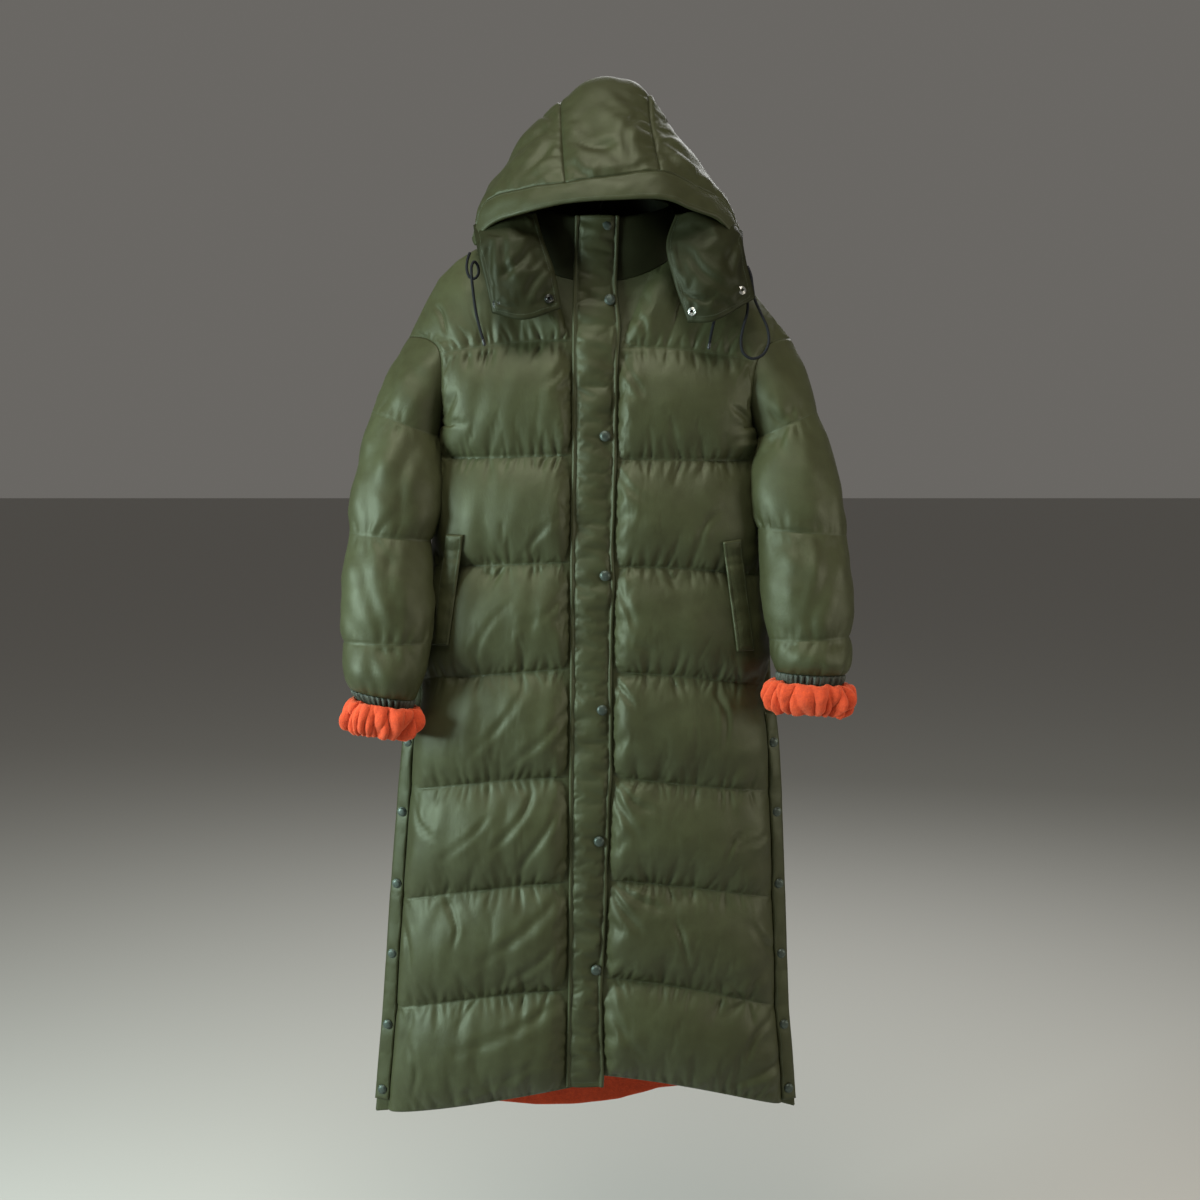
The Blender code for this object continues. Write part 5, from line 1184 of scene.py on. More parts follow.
casing_look = mottled("casing_cloth", (ELASTIC_GREEN, ELASTIC_LIT), (260.0, 0.1875, 1.6),
                      (90.0, 0.2, 0.5), (500.0, 0.0008))
frill_fleece = fleece("frill_fleece")
for side_name, foot in CUFF_FEET.items():
    head = SLEEVE_RINGS[side_name][-1]
    top, bottom = sleeve_ring(head, CASING_ROUND), sleeve_ring(foot, CASING_ROUND)
    axis = unit(bottom.mean(axis=0) - top.mean(axis=0))
    steps = np.linspace(*CASING_SPAN, CASING_ROWS)
    base = np.array([top * (1 - t) + bottom * t for t in steps])
    spokes = np.array([ring_spokes(row, axis) for row in base])
    turns = np.arange(CASING_ROUND) * (2 * math.pi / CASING_ROUND)
    draw = np.random.default_rng(61 if side_name == "right" else 62)
    drift = 0.5 * np.sin(3 * turns + 1.0) + 0.4 * np.sin(7 * turns + draw.uniform(0, 6))
    pleats = np.cos(CASING_PLEATS * turns + drift * 2.0)
    pleats = np.sign(pleats) * np.abs(pleats) ** 0.7
    uneven = 0.75 + 0.35 * np.sin(5 * turns + draw.uniform(0, 6))
    rise = np.sin(math.pi * steps)[:, None] ** 0.5
    lift = (CASING_LIFT + PLEAT_HEIGHT * pleats * uneven) * rise + CASING_LIFT * rise
    casing = cloth_wall("casing_" + side_name, base + spokes * (WALL / 2 + lift)[..., None],
                        base - spokes * (WALL / 2 - 0.6 * lift)[..., None], [casing_look],
                        closed=True)
    dress(casing, "elastic", "cuff_elastic_" + side_name)

    bottom = sleeve_ring(foot, FRILL_ROUND)
    spokes = ring_spokes(bottom, axis)
    turns = np.arange(FRILL_ROUND) * (2 * math.pi / FRILL_ROUND)
    profile = curve_through(FRILL_PROFILE, 6)
    starts = draw.uniform(0, 2 * math.pi, 6)
    wander = 1.5 * np.sin(2 * turns + starts[0]) + 1.1 * np.sin(5 * turns + starts[1])
    split = 2.2 * np.sin(3 * turns + starts[2])
    height = 0.75 + 0.30 * np.sin(3 * turns + starts[3]) + 0.15 * np.sin(7 * turns + starts[4])
    rows = []
    for out, down, share in profile:
        lean = np.array((FRILL_LEAN[side_name] * max(down, 0.0) / FRILL_PROFILE[-1][1], 0, 0))
        skew = FRILL_SKEW * down * np.sin(3 * turns + starts[5])
        broad = 2 * np.abs(np.cos((FRILL_FOLDS * turns + wander + skew) / 2)) ** 0.8 - 1
        small = 2 * np.abs(np.cos((FRILL_SMALL_FOLDS * turns + split - skew) / 2)) - 1
        fold = height * (broad + 0.55 * small)
        reach = out + FRILL_DEPTH * share * (fold - 0.25)
        rows.append(bottom + spokes * reach[:, None] + lean
                    + axis * (down + FRILL_DROP * share * fold[:, None]))
    base = np.array(rows)
    normals = facing(base, np.broadcast_to(spokes, base.shape), closed=True)
    normals[0] = -axis
    lift = FRILL_WALL / 2 + ripple(base, 0.017, 71) * 0.0007
    held = np.zeros(lift.shape, dtype=bool)
    held[0] = held[-1] = True
    drawn = settle(base, normals, lift, held, np.ones(lift.shape), grow=(0.0, 0.30),
                   pressure=3.0, least=-0.010, closed=True)
    frill = cloth_wall("frill_" + side_name, drawn, base - normals * (FRILL_WALL / 2),
                       [frill_fleece], closed=True)
    dress(frill, "fleece", "cuff_frill_" + side_name)
    ring = base[len(base) // 2]

# ---- Collar ----
# A padded stand, sewn into the neckline and closed at the front under the placket.
COLLAR_PUFF = 0.0045
COLLAR_TOP = (
    # x, y, z from the right front end round the back to the left front end
    (-0.01, -0.05, -0.079), (-0.045, -0.048, -0.076), (-0.085, -0.025, -0.062),
    (-0.096, 0.0, -0.05), (-0.065, 0.026, -0.038), (0.0, 0.033, -0.034),
    (0.065, 0.026, -0.039), (0.098, 0.0, -0.052), (0.088, -0.025, -0.064),
    (0.045, -0.048, -0.076), (-0.007, -0.05, -0.079),
)
COLLAR_COLUMNS = 150
COLLAR_ROWS = 22
COLLAR_FLAT = 28.0  # columns from each end to its full swelling
COLLAR_BOW = 0.002  # how far it bows outwards halfway up
COLLAR_SPREAD = 0.0004  # how far each front end stands out to its side of the opening
NECK_MIDDLE_Y = -0.008


def neck_spokes(points):
    """Level directions away from the middle of the neck."""
    return unit((points - np.array((0.0, NECK_MIDDLE_Y, 0.0))) * np.array((1.0, 1.0, 0.0)))


# The collar's satin is painted far darker than the fronts: painted shade under the hood.
collar_satin_painted_shade = satin("collar_satin_painted_shade", 0.42)
foot = []
for place in np.linspace(0, 2 * NECK_POINTS + 4, COLLAR_COLUMNS + 1):
    past = place - NECK_POINTS
    if past < 0:
        foot.append(neck_point(-1, place))
    elif past <= 4:
        foot.append(back_neckline(np.array([past / 4]))[0])
    else:
        foot.append(neck_point(1, NECK_POINTS + 4 - past))
foot = np.array(foot)
down = np.linspace(0, 1, COLLAR_ROWS + 1)
top = along(curve_through(COLLAR_TOP, 6), np.linspace(0, 1, len(foot)))
base = np.array([foot * (1 - t) + top * t for t in down])
base += neck_spokes(base) * (COLLAR_BOW * np.sin(math.pi * down))[:, None, None]
base[:, 0, 0] -= COLLAR_SPREAD
base[:, -1, 0] += COLLAR_SPREAD
spokes = neck_spokes(base)
spokes[:, 0] = spokes[:, -1] = FORWARD
columns = np.arange(COLLAR_COLUMNS + 1)
ends = ease(np.minimum(columns, columns[::-1]) / COLLAR_FLAT)
puff = COLLAR_PUFF * np.outer(np.sin(math.pi * down) ** 0.5, ends)
lift = puff + ripple(base, 0.05, 41) * 0.0008 * puff / COLLAR_PUFF
lift -= tucks(*reaches(base), 43, reach=0.022, deep=0.0016) * np.minimum(1.0, puff / 0.003)
collar = cloth_wall("collar_stand", base + spokes * (WALL / 2 + lift)[..., None],
                    base - spokes * (WALL / 2), [collar_satin_painted_shade])
dress(collar, "nylon", "collar")

# ---- Hood ----
# A crown panel between two side panels, lightly filled, with a flat stitched brim across all
# three that hides the drawcord's channel. Its lining is the shell's own satin.
HOOD_WALL = 0.004
HOOD_PUFF = 0.007
HOOD_STEPS = 12  # fine steps from one key of the table to the next
HOOD_MIDDLE = (0.01, 0.0, -0.06)  # its panels face away from here
BRIM_COLUMN = 40  # the one along which its width is measured
HOOD_SEAM_RIGHT = 3
HOOD_SEAM_LEFT = 5
HOOD_RINGS = (
    # right end, two points up the side, right seam, crown, left seam, two points down, left end
    ((-0.176, -0.05, -0.118), (-0.15, -0.082, -0.093), (-0.098, -0.115, -0.081),
     (-0.0436, -0.13, -0.0717), (0.02, -0.142, -0.069), (0.0854, -0.14, -0.068),
     (0.125, -0.124, -0.079), (0.17, -0.092, -0.093), (0.2, -0.055, -0.135)),
    ((-0.18, -0.04, -0.108), (-0.158, -0.066, -0.06), (-0.105, -0.098, -0.048),
     (-0.0465, -0.12, -0.0433), (0.018, -0.13, -0.036), (0.082, -0.122, -0.0285),
     (0.128, -0.1, -0.043), (0.178, -0.062, -0.068), (0.205, -0.04, -0.135)),
    ((-0.18, -0.025, -0.105), (-0.15, -0.04, -0.045), (-0.103, -0.068, -0.016),
     (-0.0496, -0.098, -0.0088), (0.015, -0.104, 0.003), (0.0761, -0.092, 0.0066),
     (0.121, -0.066, -0.01), (0.17, -0.035, -0.058), (0.204, -0.02, -0.14)),
    ((-0.177, -0.012, -0.104), (-0.139, -0.022, -0.025), (-0.1, -0.038, 0.018),
     (-0.0532, -0.06, 0.043), (0.01, -0.062, 0.058), (0.07, -0.058, 0.05),
     (0.11, -0.036, 0.017), (0.16, -0.016, -0.046), (0.2, -0.005, -0.138)),
    ((-0.172, 0.0, -0.117), (-0.129, -0.005, -0.012), (-0.088, -0.012, 0.047),
     (-0.0545, -0.018, 0.084), (0.005, -0.015, 0.11), (0.067, -0.015, 0.096),
     (0.101, -0.012, 0.036), (0.146, -0.005, -0.03), (0.196, 0.005, -0.155)),
    ((-0.16, 0.018, -0.114), (-0.128, 0.025, -0.02), (-0.088, 0.028, 0.036),
     (-0.054, 0.03, 0.08), (0.003, 0.032, 0.097), (0.06, 0.03, 0.086),
     (0.096, 0.028, 0.032), (0.138, 0.022, -0.03), (0.175, 0.018, -0.139)),
    ((-0.14, 0.03, -0.11), (-0.126, 0.05, -0.04), (-0.092, 0.06, 0.005),
     (-0.05, 0.065, 0.036), (0.002, 0.067, 0.046), (0.052, 0.065, 0.036),
     (0.092, 0.06, 0.003), (0.13, 0.048, -0.045), (0.15, 0.03, -0.122)),
    ((-0.1156, 0.01, -0.094), (-0.096, 0.038, -0.084), (-0.066, 0.055, -0.078),
     (-0.035, 0.064, -0.076), (0.0, 0.066, -0.075), (0.035, 0.064, -0.076),
     (0.066, 0.055, -0.079), (0.096, 0.038, -0.087), (0.1175, 0.01, -0.096)),
)

HOOD_FOLDS = {
    # x and z of each fold's start, middle and end, its width and depth
    "side_right": ((-0.062, 0.05, -0.105, 0.012, -0.158, -0.036, 0.0062, 0.0042),
                   (-0.068, -0.022, -0.11, -0.05, -0.158, -0.088, 0.0056, 0.004),
                   (-0.068, 0.066, -0.062, 0.052, -0.062, 0.034, 0.005, 0.005),
                   (-0.06, 0.02, -0.084, -0.014, -0.128, -0.056, 0.0052, 0.0036)),
    "centre": ((-0.04, 0.02, -0.01, 0.004, 0.03, 0.01, 0.0056, 0.0026),
               (0.064, -0.02, 0.03, -0.036, -0.01, -0.034, 0.0056, 0.0034),
               (-0.042, -0.01, -0.024, -0.034, 0.01, -0.048, 0.005, 0.003),
               (0.055, 0.06, 0.035, 0.02, 0.045, -0.02, 0.0056, 0.0028)),
    "side_left": ((0.088, -0.02, 0.13, -0.042, 0.18, -0.076, 0.0062, 0.004),
                  (0.078, 0.01, 0.096, -0.014, 0.122, -0.036, 0.005, 0.0036),
                  (0.08, 0.046, 0.098, 0.01, 0.13, -0.02, 0.0052, 0.0034)),
}
# The hood's satin is painted a little darker than the fronts, and its lining, the same satin, far
# darker: painted shade.
hood_satin_painted_shade = satin("hood_satin_painted_shade", 0.84)
hood_lining_painted_shade = satin("hood_lining_satin", 0.35)
arches = np.array([curve_through(arch, HOOD_STEPS) for arch in HOOD_RINGS])
hood_base = np.stack([curve_through(arches[:, k], HOOD_STEPS) for k in range(arches.shape[1])],
                     axis=1)
hood_ways = facing(hood_base, hood_base - np.array(HOOD_MIDDLE))
seam_right, seam_left = HOOD_SEAM_RIGHT * HOOD_STEPS, HOOD_SEAM_LEFT * HOOD_STEPS
last = hood_base.shape[1] - 1
for piece_name, start, stop in (("side_right", 0, seam_right), ("centre", seam_right, seam_left),
                                ("side_left", seam_left, last)):
    base = hood_base[HOOD_STEPS:, start:stop + 1]
    ways = hood_ways[HOOD_STEPS:, start:stop + 1]
    down = np.linspace(0, 1, base.shape[0])
    across = np.linspace(0, 1, base.shape[1])
    rise = np.maximum(np.outer(np.sin(math.pi * down), np.sin(math.pi * across)), 0.0) ** 0.5
    waves = ripple(base, 0.09, 51 + start) * 0.0020 + ripple(base, 0.028, 52 + start) * 0.0005
    lift = HOOD_PUFF * rise + waves * np.minimum(1.0, rise * 1.6)
    run_across, run_down = reaches(base)
    near = np.minimum(1.0, rise * 3)
    for place, away, seed, gather in ((run_down, run_across, 55, 0.040),
                                      (run_down, run_across[:, -1:] - run_across, 56, 0.040),
                                      (run_across, run_down, 57, 0.036)):
        lift -= tucks(place, away, seed + start, reach=gather, deep=gather / 10) * near
    lift = np.maximum(lift - creases(base, HOOD_FOLDS[piece_name]) * near, 0.0)
    held = np.ones(lift.shape, dtype=bool)
    held[1:-1, 1:-1] = False
    from_edge = np.minimum(np.minimum(run_across, run_across[:, -1:] - run_across), run_down)
    full = bell(from_edge / LINE_REACH) * (0.8 + 0.4 * ripple(base, 0.04, 60 + start))
    drawn = settle(base, ways, HOOD_WALL / 2 + lift, held, full, grow=(0.03, 0.15),
                   pressure=8.0, least=HOOD_WALL / 2)
    panel = cloth_wall("hood_" + piece_name + "_panel", drawn, base - ways * (HOOD_WALL / 2),
                       [hood_satin_painted_shade, hood_lining_painted_shade])
    dress(panel, "nylon", "hood_" + piece_name)

base, brim_ways = hood_base[:HOOD_STEPS + 1], hood_ways[:HOOD_STEPS + 1]
down = np.linspace(0, 1, HOOD_STEPS + 1)
channel = 0.0016 * np.sin(math.pi * np.clip(down / 0.9, 0, 1)) ** 0.6
run_across, run_down = reaches(base)
lift = channel[:, None] + ripple(base, 0.03, 58) * 0.0006
lift -= tucks(run_across, run_down[-1:] - run_down, 59, reach=0.016, deep=0.0012)
held = np.ones(lift.shape, dtype=bool)
held[1:-1, 1:-1] = False
brim_face = settle(base, brim_ways, HOOD_WALL / 2 + lift, held, np.ones(lift.shape),
                   grow=(0.0, 0.14), pressure=4.0, least=HOOD_WALL / 2 - 0.0004)
brim = cloth_wall("hood_brim_band", brim_face, base - brim_ways * (HOOD_WALL / 2),
                  [hood_satin_painted_shade, hood_lining_painted_shade])
dress(brim, "nylon", "hood_brim")
band = (run_length(base[HOOD_STEPS // 2]), run_length(base[:, BRIM_COLUMN]))

# ---- Throat tabs ----
# Two flaps on the hood's front edges that snap together under the chin, here hanging open. Each
# is two layers of satin over thin filling, turned and stitched round its edge.
TAB_STEPS = 14
TAB_KEYS = {
    # under the brim, at its edge, middle, foot: three points of each, from right to left
    "right": (((-0.179, -0.046, -0.09), (-0.132, -0.07, -0.078), (-0.09, -0.068, -0.076)),
              ((-0.172, -0.08, -0.1235), (-0.12, -0.094, -0.118), (-0.079, -0.084, -0.115)),
              ((-0.16, -0.092, -0.17), (-0.115, -0.104, -0.17), (-0.063, -0.094, -0.16)),
              ((-0.15, -0.096, -0.2172), (-0.105, -0.107, -0.227), (-0.053, -0.098, -0.2105))),
    "left": (((0.105, -0.078, -0.08), (0.155, -0.084, -0.08), (0.201, -0.054, -0.1)),
             ((0.092, -0.092, -0.124), (0.145, -0.1, -0.116), (0.2, -0.078, -0.122)),
             ((0.103, -0.1, -0.175), (0.156, -0.112, -0.17), (0.206, -0.086, -0.156)),
             ((0.1223, -0.102, -0.2309), (0.16, -0.112, -0.2285), (0.2165, -0.09, -0.196))),
}
TAB_FOLDS = {
    # x and z of each fold's start, middle and end, its width and depth
    "right": ((-0.148, -0.118, -0.157, -0.16, -0.15, -0.205, 0.0064, 0.0044),
              (-0.09, -0.12, -0.112, -0.15, -0.14, -0.17, 0.0056, 0.0034),
              (-0.07, -0.15, -0.094, -0.176, -0.104, -0.204, 0.0052, 0.003),
              (-0.128, -0.112, -0.132, -0.14, -0.122, -0.176, 0.005, 0.0028)),
    "left": ((0.12, -0.12, 0.14, -0.16, 0.18, -0.19, 0.0064, 0.003),
             (0.192, -0.112, 0.176, -0.146, 0.18, -0.18, 0.0056, 0.0032),
             (0.11, -0.18, 0.13, -0.196, 0.152, -0.204, 0.005, 0.0026)),
}
TAB_EDGE = 0.007  # from the edge to its row of stitches
TAB_HIDDEN = 0.020  # its top counts as this far from an edge, since the brim covers it
# The tabs' satin is painted far darker than the fronts: painted shade under the brim.
tab_satin_painted_shade = satin("tab_satin_painted_shade", 0.42)


def from_edges(across, down, hidden=0.0):
    """How far each point lies from the nearest edge of its strip, whose top may be hidden."""
    return np.minimum(np.minimum(across, across[:, -1:] - across),
                      np.minimum(down + hidden, down[-1:] - down))


def turned_edge(edge, reach, least):
    """The share of its thickness that cloth turned over at an edge has this far from it."""
    return np.sqrt(np.clip(1 - (1 - np.clip(edge / reach, 0, 1)) ** 2, least, 1))


tab_faces = []
for side_name, keys in TAB_KEYS.items():
    rows = np.array([curve_through(row, TAB_STEPS) for row in keys])
    base = np.stack([curve_through(column, TAB_STEPS) for column in rows.swapaxes(0, 1)], axis=1)
    normals = facing(base, FORWARD)
    edge = from_edges(*reaches(base), hidden=TAB_HIDDEN)
    rounding = turned_edge(edge, 0.0025, 0.15)
    groove = 0.0007 * bell((edge - TAB_EDGE) / 0.0016)
    pillow = 0.0022 * ease((edge - TAB_EDGE) / 0.018)
    waves = ripple(base, 0.035, 81) * 0.0012 * ease(edge / 0.01)
    lift = HOOD_WALL / 2 * rounding - groove + pillow + waves
    lift -= creases(base, TAB_FOLDS[side_name]) * ease(edge / 0.008)
    drawn = settle(base, normals, lift, edge < TAB_EDGE, np.clip(edge / 0.02, 0, 1),
                   grow=(0.10, 0.04), pressure=6.0, least=HOOD_WALL / 4)
    tab = cloth_wall("throat_tab_" + side_name, drawn,
                     base - normals * (HOOD_WALL / 2 * rounding)[..., None], [tab_satin_painted_shade])
    tab_faces.append(drawn)
    dress(tab, "nylon", "hood_tab_" + side_name)

# ---- Placket ----
# A double strip of the same satin, sewn to the right front and snapped over the left one. Two
# rows of stitches run along each long edge, and the unfilled cloth between buckles softly.
PLACKET_EASE = 0.0014  # it clears the collar and the fronts by this much more
PLACKET_THICK = 0.0034
PLACKET_HUMP = 0.0034  # how far the cloth between its rows of stitches stands up
PLACKET_EDGE = 0.0066  # from each edge to its row of stitches
PLACKET_SEAM = 0.0016  # and to the row beside the edge itself
PLACKET_TOP = -0.0775
PLACKET_FOOT = -1.342
PLACKET_ROWS = 520
PLACKET_COLUMNS = 30
PLACKET_SNAPS = 7
SIDE_SNAPS = 6  # down each vent
TAB_SNAPS = 2
DIMPLE_REACH = 0.011
PLACKET_DIMPLE = 0.0016


def node_axis(name):
    """The middle of a round flat node's base, and the way its face looks."""
    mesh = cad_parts[name].data
    points = np.empty(len(mesh.vertices) * 3)
    mesh.vertices.foreach_get("co", points)
    points = points.reshape(-1, 3)
    middle = 0.5 * (points.min(axis=0) + points.max(axis=0))
    way = np.linalg.svd(points - points.mean(axis=0), full_matrices=False)[2][-1]
    way *= -np.sign(way[1])
    rise = (points - middle) @ way
    return middle + way * rise.min(), way


def dimples(points, spots, reach, deep):
    """How far a snap's grip pulls the cloth in round each of its spots."""
    depth = np.zeros(points.shape[:-1])
    for spot in spots:
        away = np.linalg.norm((points - spot) * np.array((1.0, 0.4, 1.0)), axis=-1)
        depth = np.maximum(depth, deep * bell(away / reach))
    return depth


heights = np.linspace(PLACKET_TOP, PLACKET_FOOT, PLACKET_ROWS + 1)
right, left, depth = table(PLACKET, heights)
shares = cosine_steps(PLACKET_COLUMNS, 0.35)
x = right[:, None] + (left - right)[:, None] * shares
z = np.broadcast_to(heights[:, None], x.shape)
x = x + shares ** 3 * ripple(np.stack((x, np.zeros_like(x), z), axis=2), 0.09, 202) * 0.0009
y = np.broadcast_to((depth - (WALL / 2 + LAY_ON + PLACKET_EASE))[:, None], x.shape)
back_face = np.stack((x, y, z), axis=2)
across, down = reaches(back_face)
from_left = across[:, -1:] - across
edge = np.minimum(across, from_left)
turned_rise = 0.0007 * np.sin(math.pi * np.clip(edge / PLACKET_EDGE, 0, 1)) ** 0.6
groove = 0.0017 * bell((edge - PLACKET_EDGE) / 0.0015)
between = np.clip((across - PLACKET_EDGE) / (across[:, -1:] - 2 * PLACKET_EDGE), 0, 1)
hump = PLACKET_HUMP * np.sin(math.pi * between ** 0.9) ** 0.7
stretched = back_face * np.array((0.8, 1.0, 1.8))
buckles = ripple(stretched, 0.080, 203) * 0.0016 + ripple(stretched, 0.034, 204) * 0.0008
hump = hump * (1 + 0.25 * ripple(back_face, 0.16, 205)) + buckles * np.minimum(1, hump / 0.001)
gathers = np.zeros_like(edge)
for away, here, seed, reach, deep, pitch in (
        (across - PLACKET_EDGE, across > PLACKET_EDGE, 206, 0.020, 0.0030, (0.009, 0.026)),
        (from_left - PLACKET_EDGE, from_left > PLACKET_EDGE, 207, 0.015, 0.0026, (0.010, 0.030)),
        (np.abs(edge - PLACKET_EDGE / 2), edge < PLACKET_EDGE, 208, 0.012, 0.0008,
         (0.004, 0.009))):
    gathers = np.maximum(gathers, here * tucks(down, np.maximum(away, 0), seed, reach=reach,
                                               deep=deep, pitch=pitch))
spots = [node_axis(f"placket_snap_{k}")[0] for k in range(1, PLACKET_SNAPS + 1)]
lift = PLACKET_THICK * turned_edge(edge, 0.0018, 0.2) + turned_rise + hump - groove
lift = np.maximum(lift - gathers - dimples(back_face, spots, DIMPLE_REACH, PLACKET_DIMPLE), 0.0010)
forward = np.broadcast_to(FORWARD, back_face.shape)
full = bell((edge - PLACKET_EDGE) / 0.010) * (0.7 + 0.6 * ripple(back_face, 0.05, 209))
placket_face = settle(back_face, forward, lift, edge < PLACKET_EDGE, full, grow=(0.012, 0.11),
                      pressure=3.0, least=0.0014)
trim_satin = satin("trim_satin", 0.92)
placket = cloth_wall("placket_strip", placket_face, back_face, [trim_satin])
dress(placket, "nylon_trim", "placket")

# ---- Pocket welts ----
# A folded strip beside each side seam covers the mouth of its slant pocket, with a row of
# stitches all round its edge.
WELTS = {
    # outer top, inner top, outer foot, inner foot: x and z
    "right": ((-0.2185, -0.5256), (-0.1940, -0.5266), (-0.2411, -0.6859), (-0.2164, -0.6847)),
    "left": ((0.1743, -0.5363), (0.2006, -0.5327), (0.1956, -0.6934), (0.2212, -0.6932)),
}
WELT_CLEAR = 0.0016  # from the front's cloth to its back
WELT_THICK = 0.0038
WELT_EDGE = 0.0032  # from its edge to its stitches
WELT_ROWS = 97
WELT_COLUMNS = 17
WELT_BRIDGES = (4, 8, 12, 16, 24)  # rows up and down that it spans without dipping
AHEAD = -0.4  # y of a place well in front of the coat
SIDE_SEAM_Y = -0.004
welt_faces = []


def front_skin(side):
    """The outside of a front as a tree that finds how far forward it reaches."""
    drawn = front_faces[side]
    return BVHTree.FromPolygons(drawn.reshape(-1, 3).tolist(),
                                grid_faces(*drawn.shape[:2]).tolist())


def forward_reach(skin, x, z):
    hit = skin.ray_cast(Vector((x, AHEAD, z)), Vector((0.0, 1.0, 0.0)))[0]
    return hit.y if hit is not None else SIDE_SEAM_Y


for side, side_name in SIDES:
    skin = front_skin(side)
    top_start, top_end, foot_start, foot_end = np.array(WELTS[side_name])
    across_shares = np.linspace(0, 1, WELT_COLUMNS)
    spots = np.array([[(top_start * (1 - s) + top_end * s) * (1 - t)
                       + (foot_start * (1 - s) + foot_end * s) * t for s in across_shares]
                      for t in np.linspace(0, 1, WELT_ROWS)])
    y = np.array([[forward_reach(skin, *spot) for spot in row] for row in spots])
    bridged = y.copy()
    for gap in WELT_BRIDGES:
        middle = 0.5 * (bridged[:-2 * gap] + bridged[2 * gap:])
        bridged[gap:-gap] = np.minimum(bridged[gap:-gap], middle)
    across_line = bridged[:, :1] * (1 - across_shares) + bridged[:, -1:] * across_shares
    bridged = np.minimum(bridged, across_line)
    for _ in range(6):
        bridged[1:-1] = np.minimum(0.25 * (bridged[:-2] + 2 * bridged[1:-1] + bridged[2:]), y[1:-1])
    back_face = np.stack((spots[..., 0], bridged - WELT_CLEAR, spots[..., 1]), axis=2)
    ways = facing(back_face, FORWARD)
    across, down = reaches(back_face)
    edge = from_edges(across, down)
    groove = 0.0007 * bell((edge - WELT_EDGE) / 0.0010)
    soft = ripple(back_face * np.array((1, 1, 1.6)), 0.05, 221 + side) * 0.0008
    soft += 0.0010 * ease((edge - WELT_EDGE) / 0.008)
    gathers = np.maximum(*[tucks(down, np.abs(far - WELT_EDGE), seed + side, reach=0.012,
                                 deep=0.0012)
                           for far, seed in ((across, 223), (across[:, -1:] - across, 226))])
    lift = WELT_THICK * turned_edge(edge, 0.0016, 0.2) - groove
    lift += (soft - gathers) * ease(edge / 0.004)
    face = back_face + ways * np.maximum(lift, 0.0008)[..., None]
    welt_faces.append((face, ways))
    welt = cloth_wall("welt_strip_" + side_name, face, back_face, [trim_satin])
    dress(welt, "nylon_trim", "welt_" + side_name)

# ---- Side strips ----
# Down each side vent a narrow folded strip of satin faces the front's edge and carries the six
# snaps that close it.
STRIP_THICK = 0.0022
STRIP_DIMPLE = 0.0024
STRIP_TOP = -0.790
STRIP_FOOT = -1.376
STRIP_SHARES = (-0.16, 0.97)  # from the front's edge, 0, to the vent's inner line, 1
STRIP_COLUMNS = 9
STRIP_ROWS = 260
strip_faces = []
for side, side_name in SIDES:
    drawn = front_faces[side]
    heights = np.linspace(STRIP_TOP, STRIP_FOOT, STRIP_ROWS)
    inside_column = UNDER + int(np.argmin(np.abs(FRONT_SHARES - VENT_EDGE)))
    outer_line, inner_line = [
        np.stack([np.interp(heights, line[:, 2], line[:, axis]) for axis in range(3)], axis=1)
        for line in (drawn[::-1, -1], drawn[::-1, inside_column])]
    base = np.stack([outer_line * (1 - s) + inner_line * s
                     for s in np.linspace(*STRIP_SHARES, STRIP_COLUMNS)], axis=1)
    ways = facing(base, FORWARD)
    across, down = reaches(base)
    wide = across[:, -1:]
    edge = from_edges(across, down)
    soft = 0.0011 * np.sin(math.pi * across / wide) + ripple(base, 0.045, 231 + side) * 0.0009
    gathers = tucks(down, np.minimum(across, wide - across), 233 + side, reach=0.011,
                    deep=0.0017, pitch=(0.010, 0.030))
    spots = [node_axis(f"side_snap_{side_name}_{k}")[0] for k in range(1, SIDE_SNAPS + 1)]
    lift = STRIP_THICK * turned_edge(edge, 0.0014, 0.25) + (soft - gathers) * ease(edge / 0.003)
    lift = np.maximum(lift - dimples(base, spots, DIMPLE_REACH, STRIP_DIMPLE), 0.0008)
    face = base + ways * (LAY_ON + lift)[..., None]
    strip_faces.append((face, ways))
    strip = cloth_wall("vent_strip_" + side_name, face, base + ways * LAY_ON, [trim_satin])
    dress(strip, "nylon_trim", "side_strip_" + side_name)

# ---- Snaps ----
# Pressed-metal caps, lacquered dark green-grey, in the placket and the side strips. The tabs
# hang open with their inner halves to the front: blackened rings right, plated sockets left.
CAP_SIDES = 40
CAP_PROFILE = (
    # share of the radius, height
    (0.94, -0.003), (1.0, -0.001), (1.0, 0.0004), (0.975, 0.0009), (0.93, 0.0011),
    (0.885, 0.001), (0.86, 0.0012), (0.82, 0.0018), (0.74, 0.0023), (0.6, 0.0027),
    (0.42, 0.0029), (0.2, 0.003),
)
SOCKET_PROFILE = (
    (0.96, -0.0024), (1.0, 0.0002), (0.99, 0.0008), (0.93, 0.0013), (0.84, 0.0015),
    (0.74, 0.0014), (0.68, 0.0011), (0.6, 0.0017), (0.53, 0.0021), (0.46, 0.0022),
    (0.4, 0.0019), (0.37, 0.001), (0.36, -0.0006), (0.2, -0.0009),
)
CAP_RADIUS = 0.0075
SIDE_CAP_RADIUS = 0.0070
SIDE_CAP_RISE = 0.0012
SOCKET_RADIUS = 0.0062


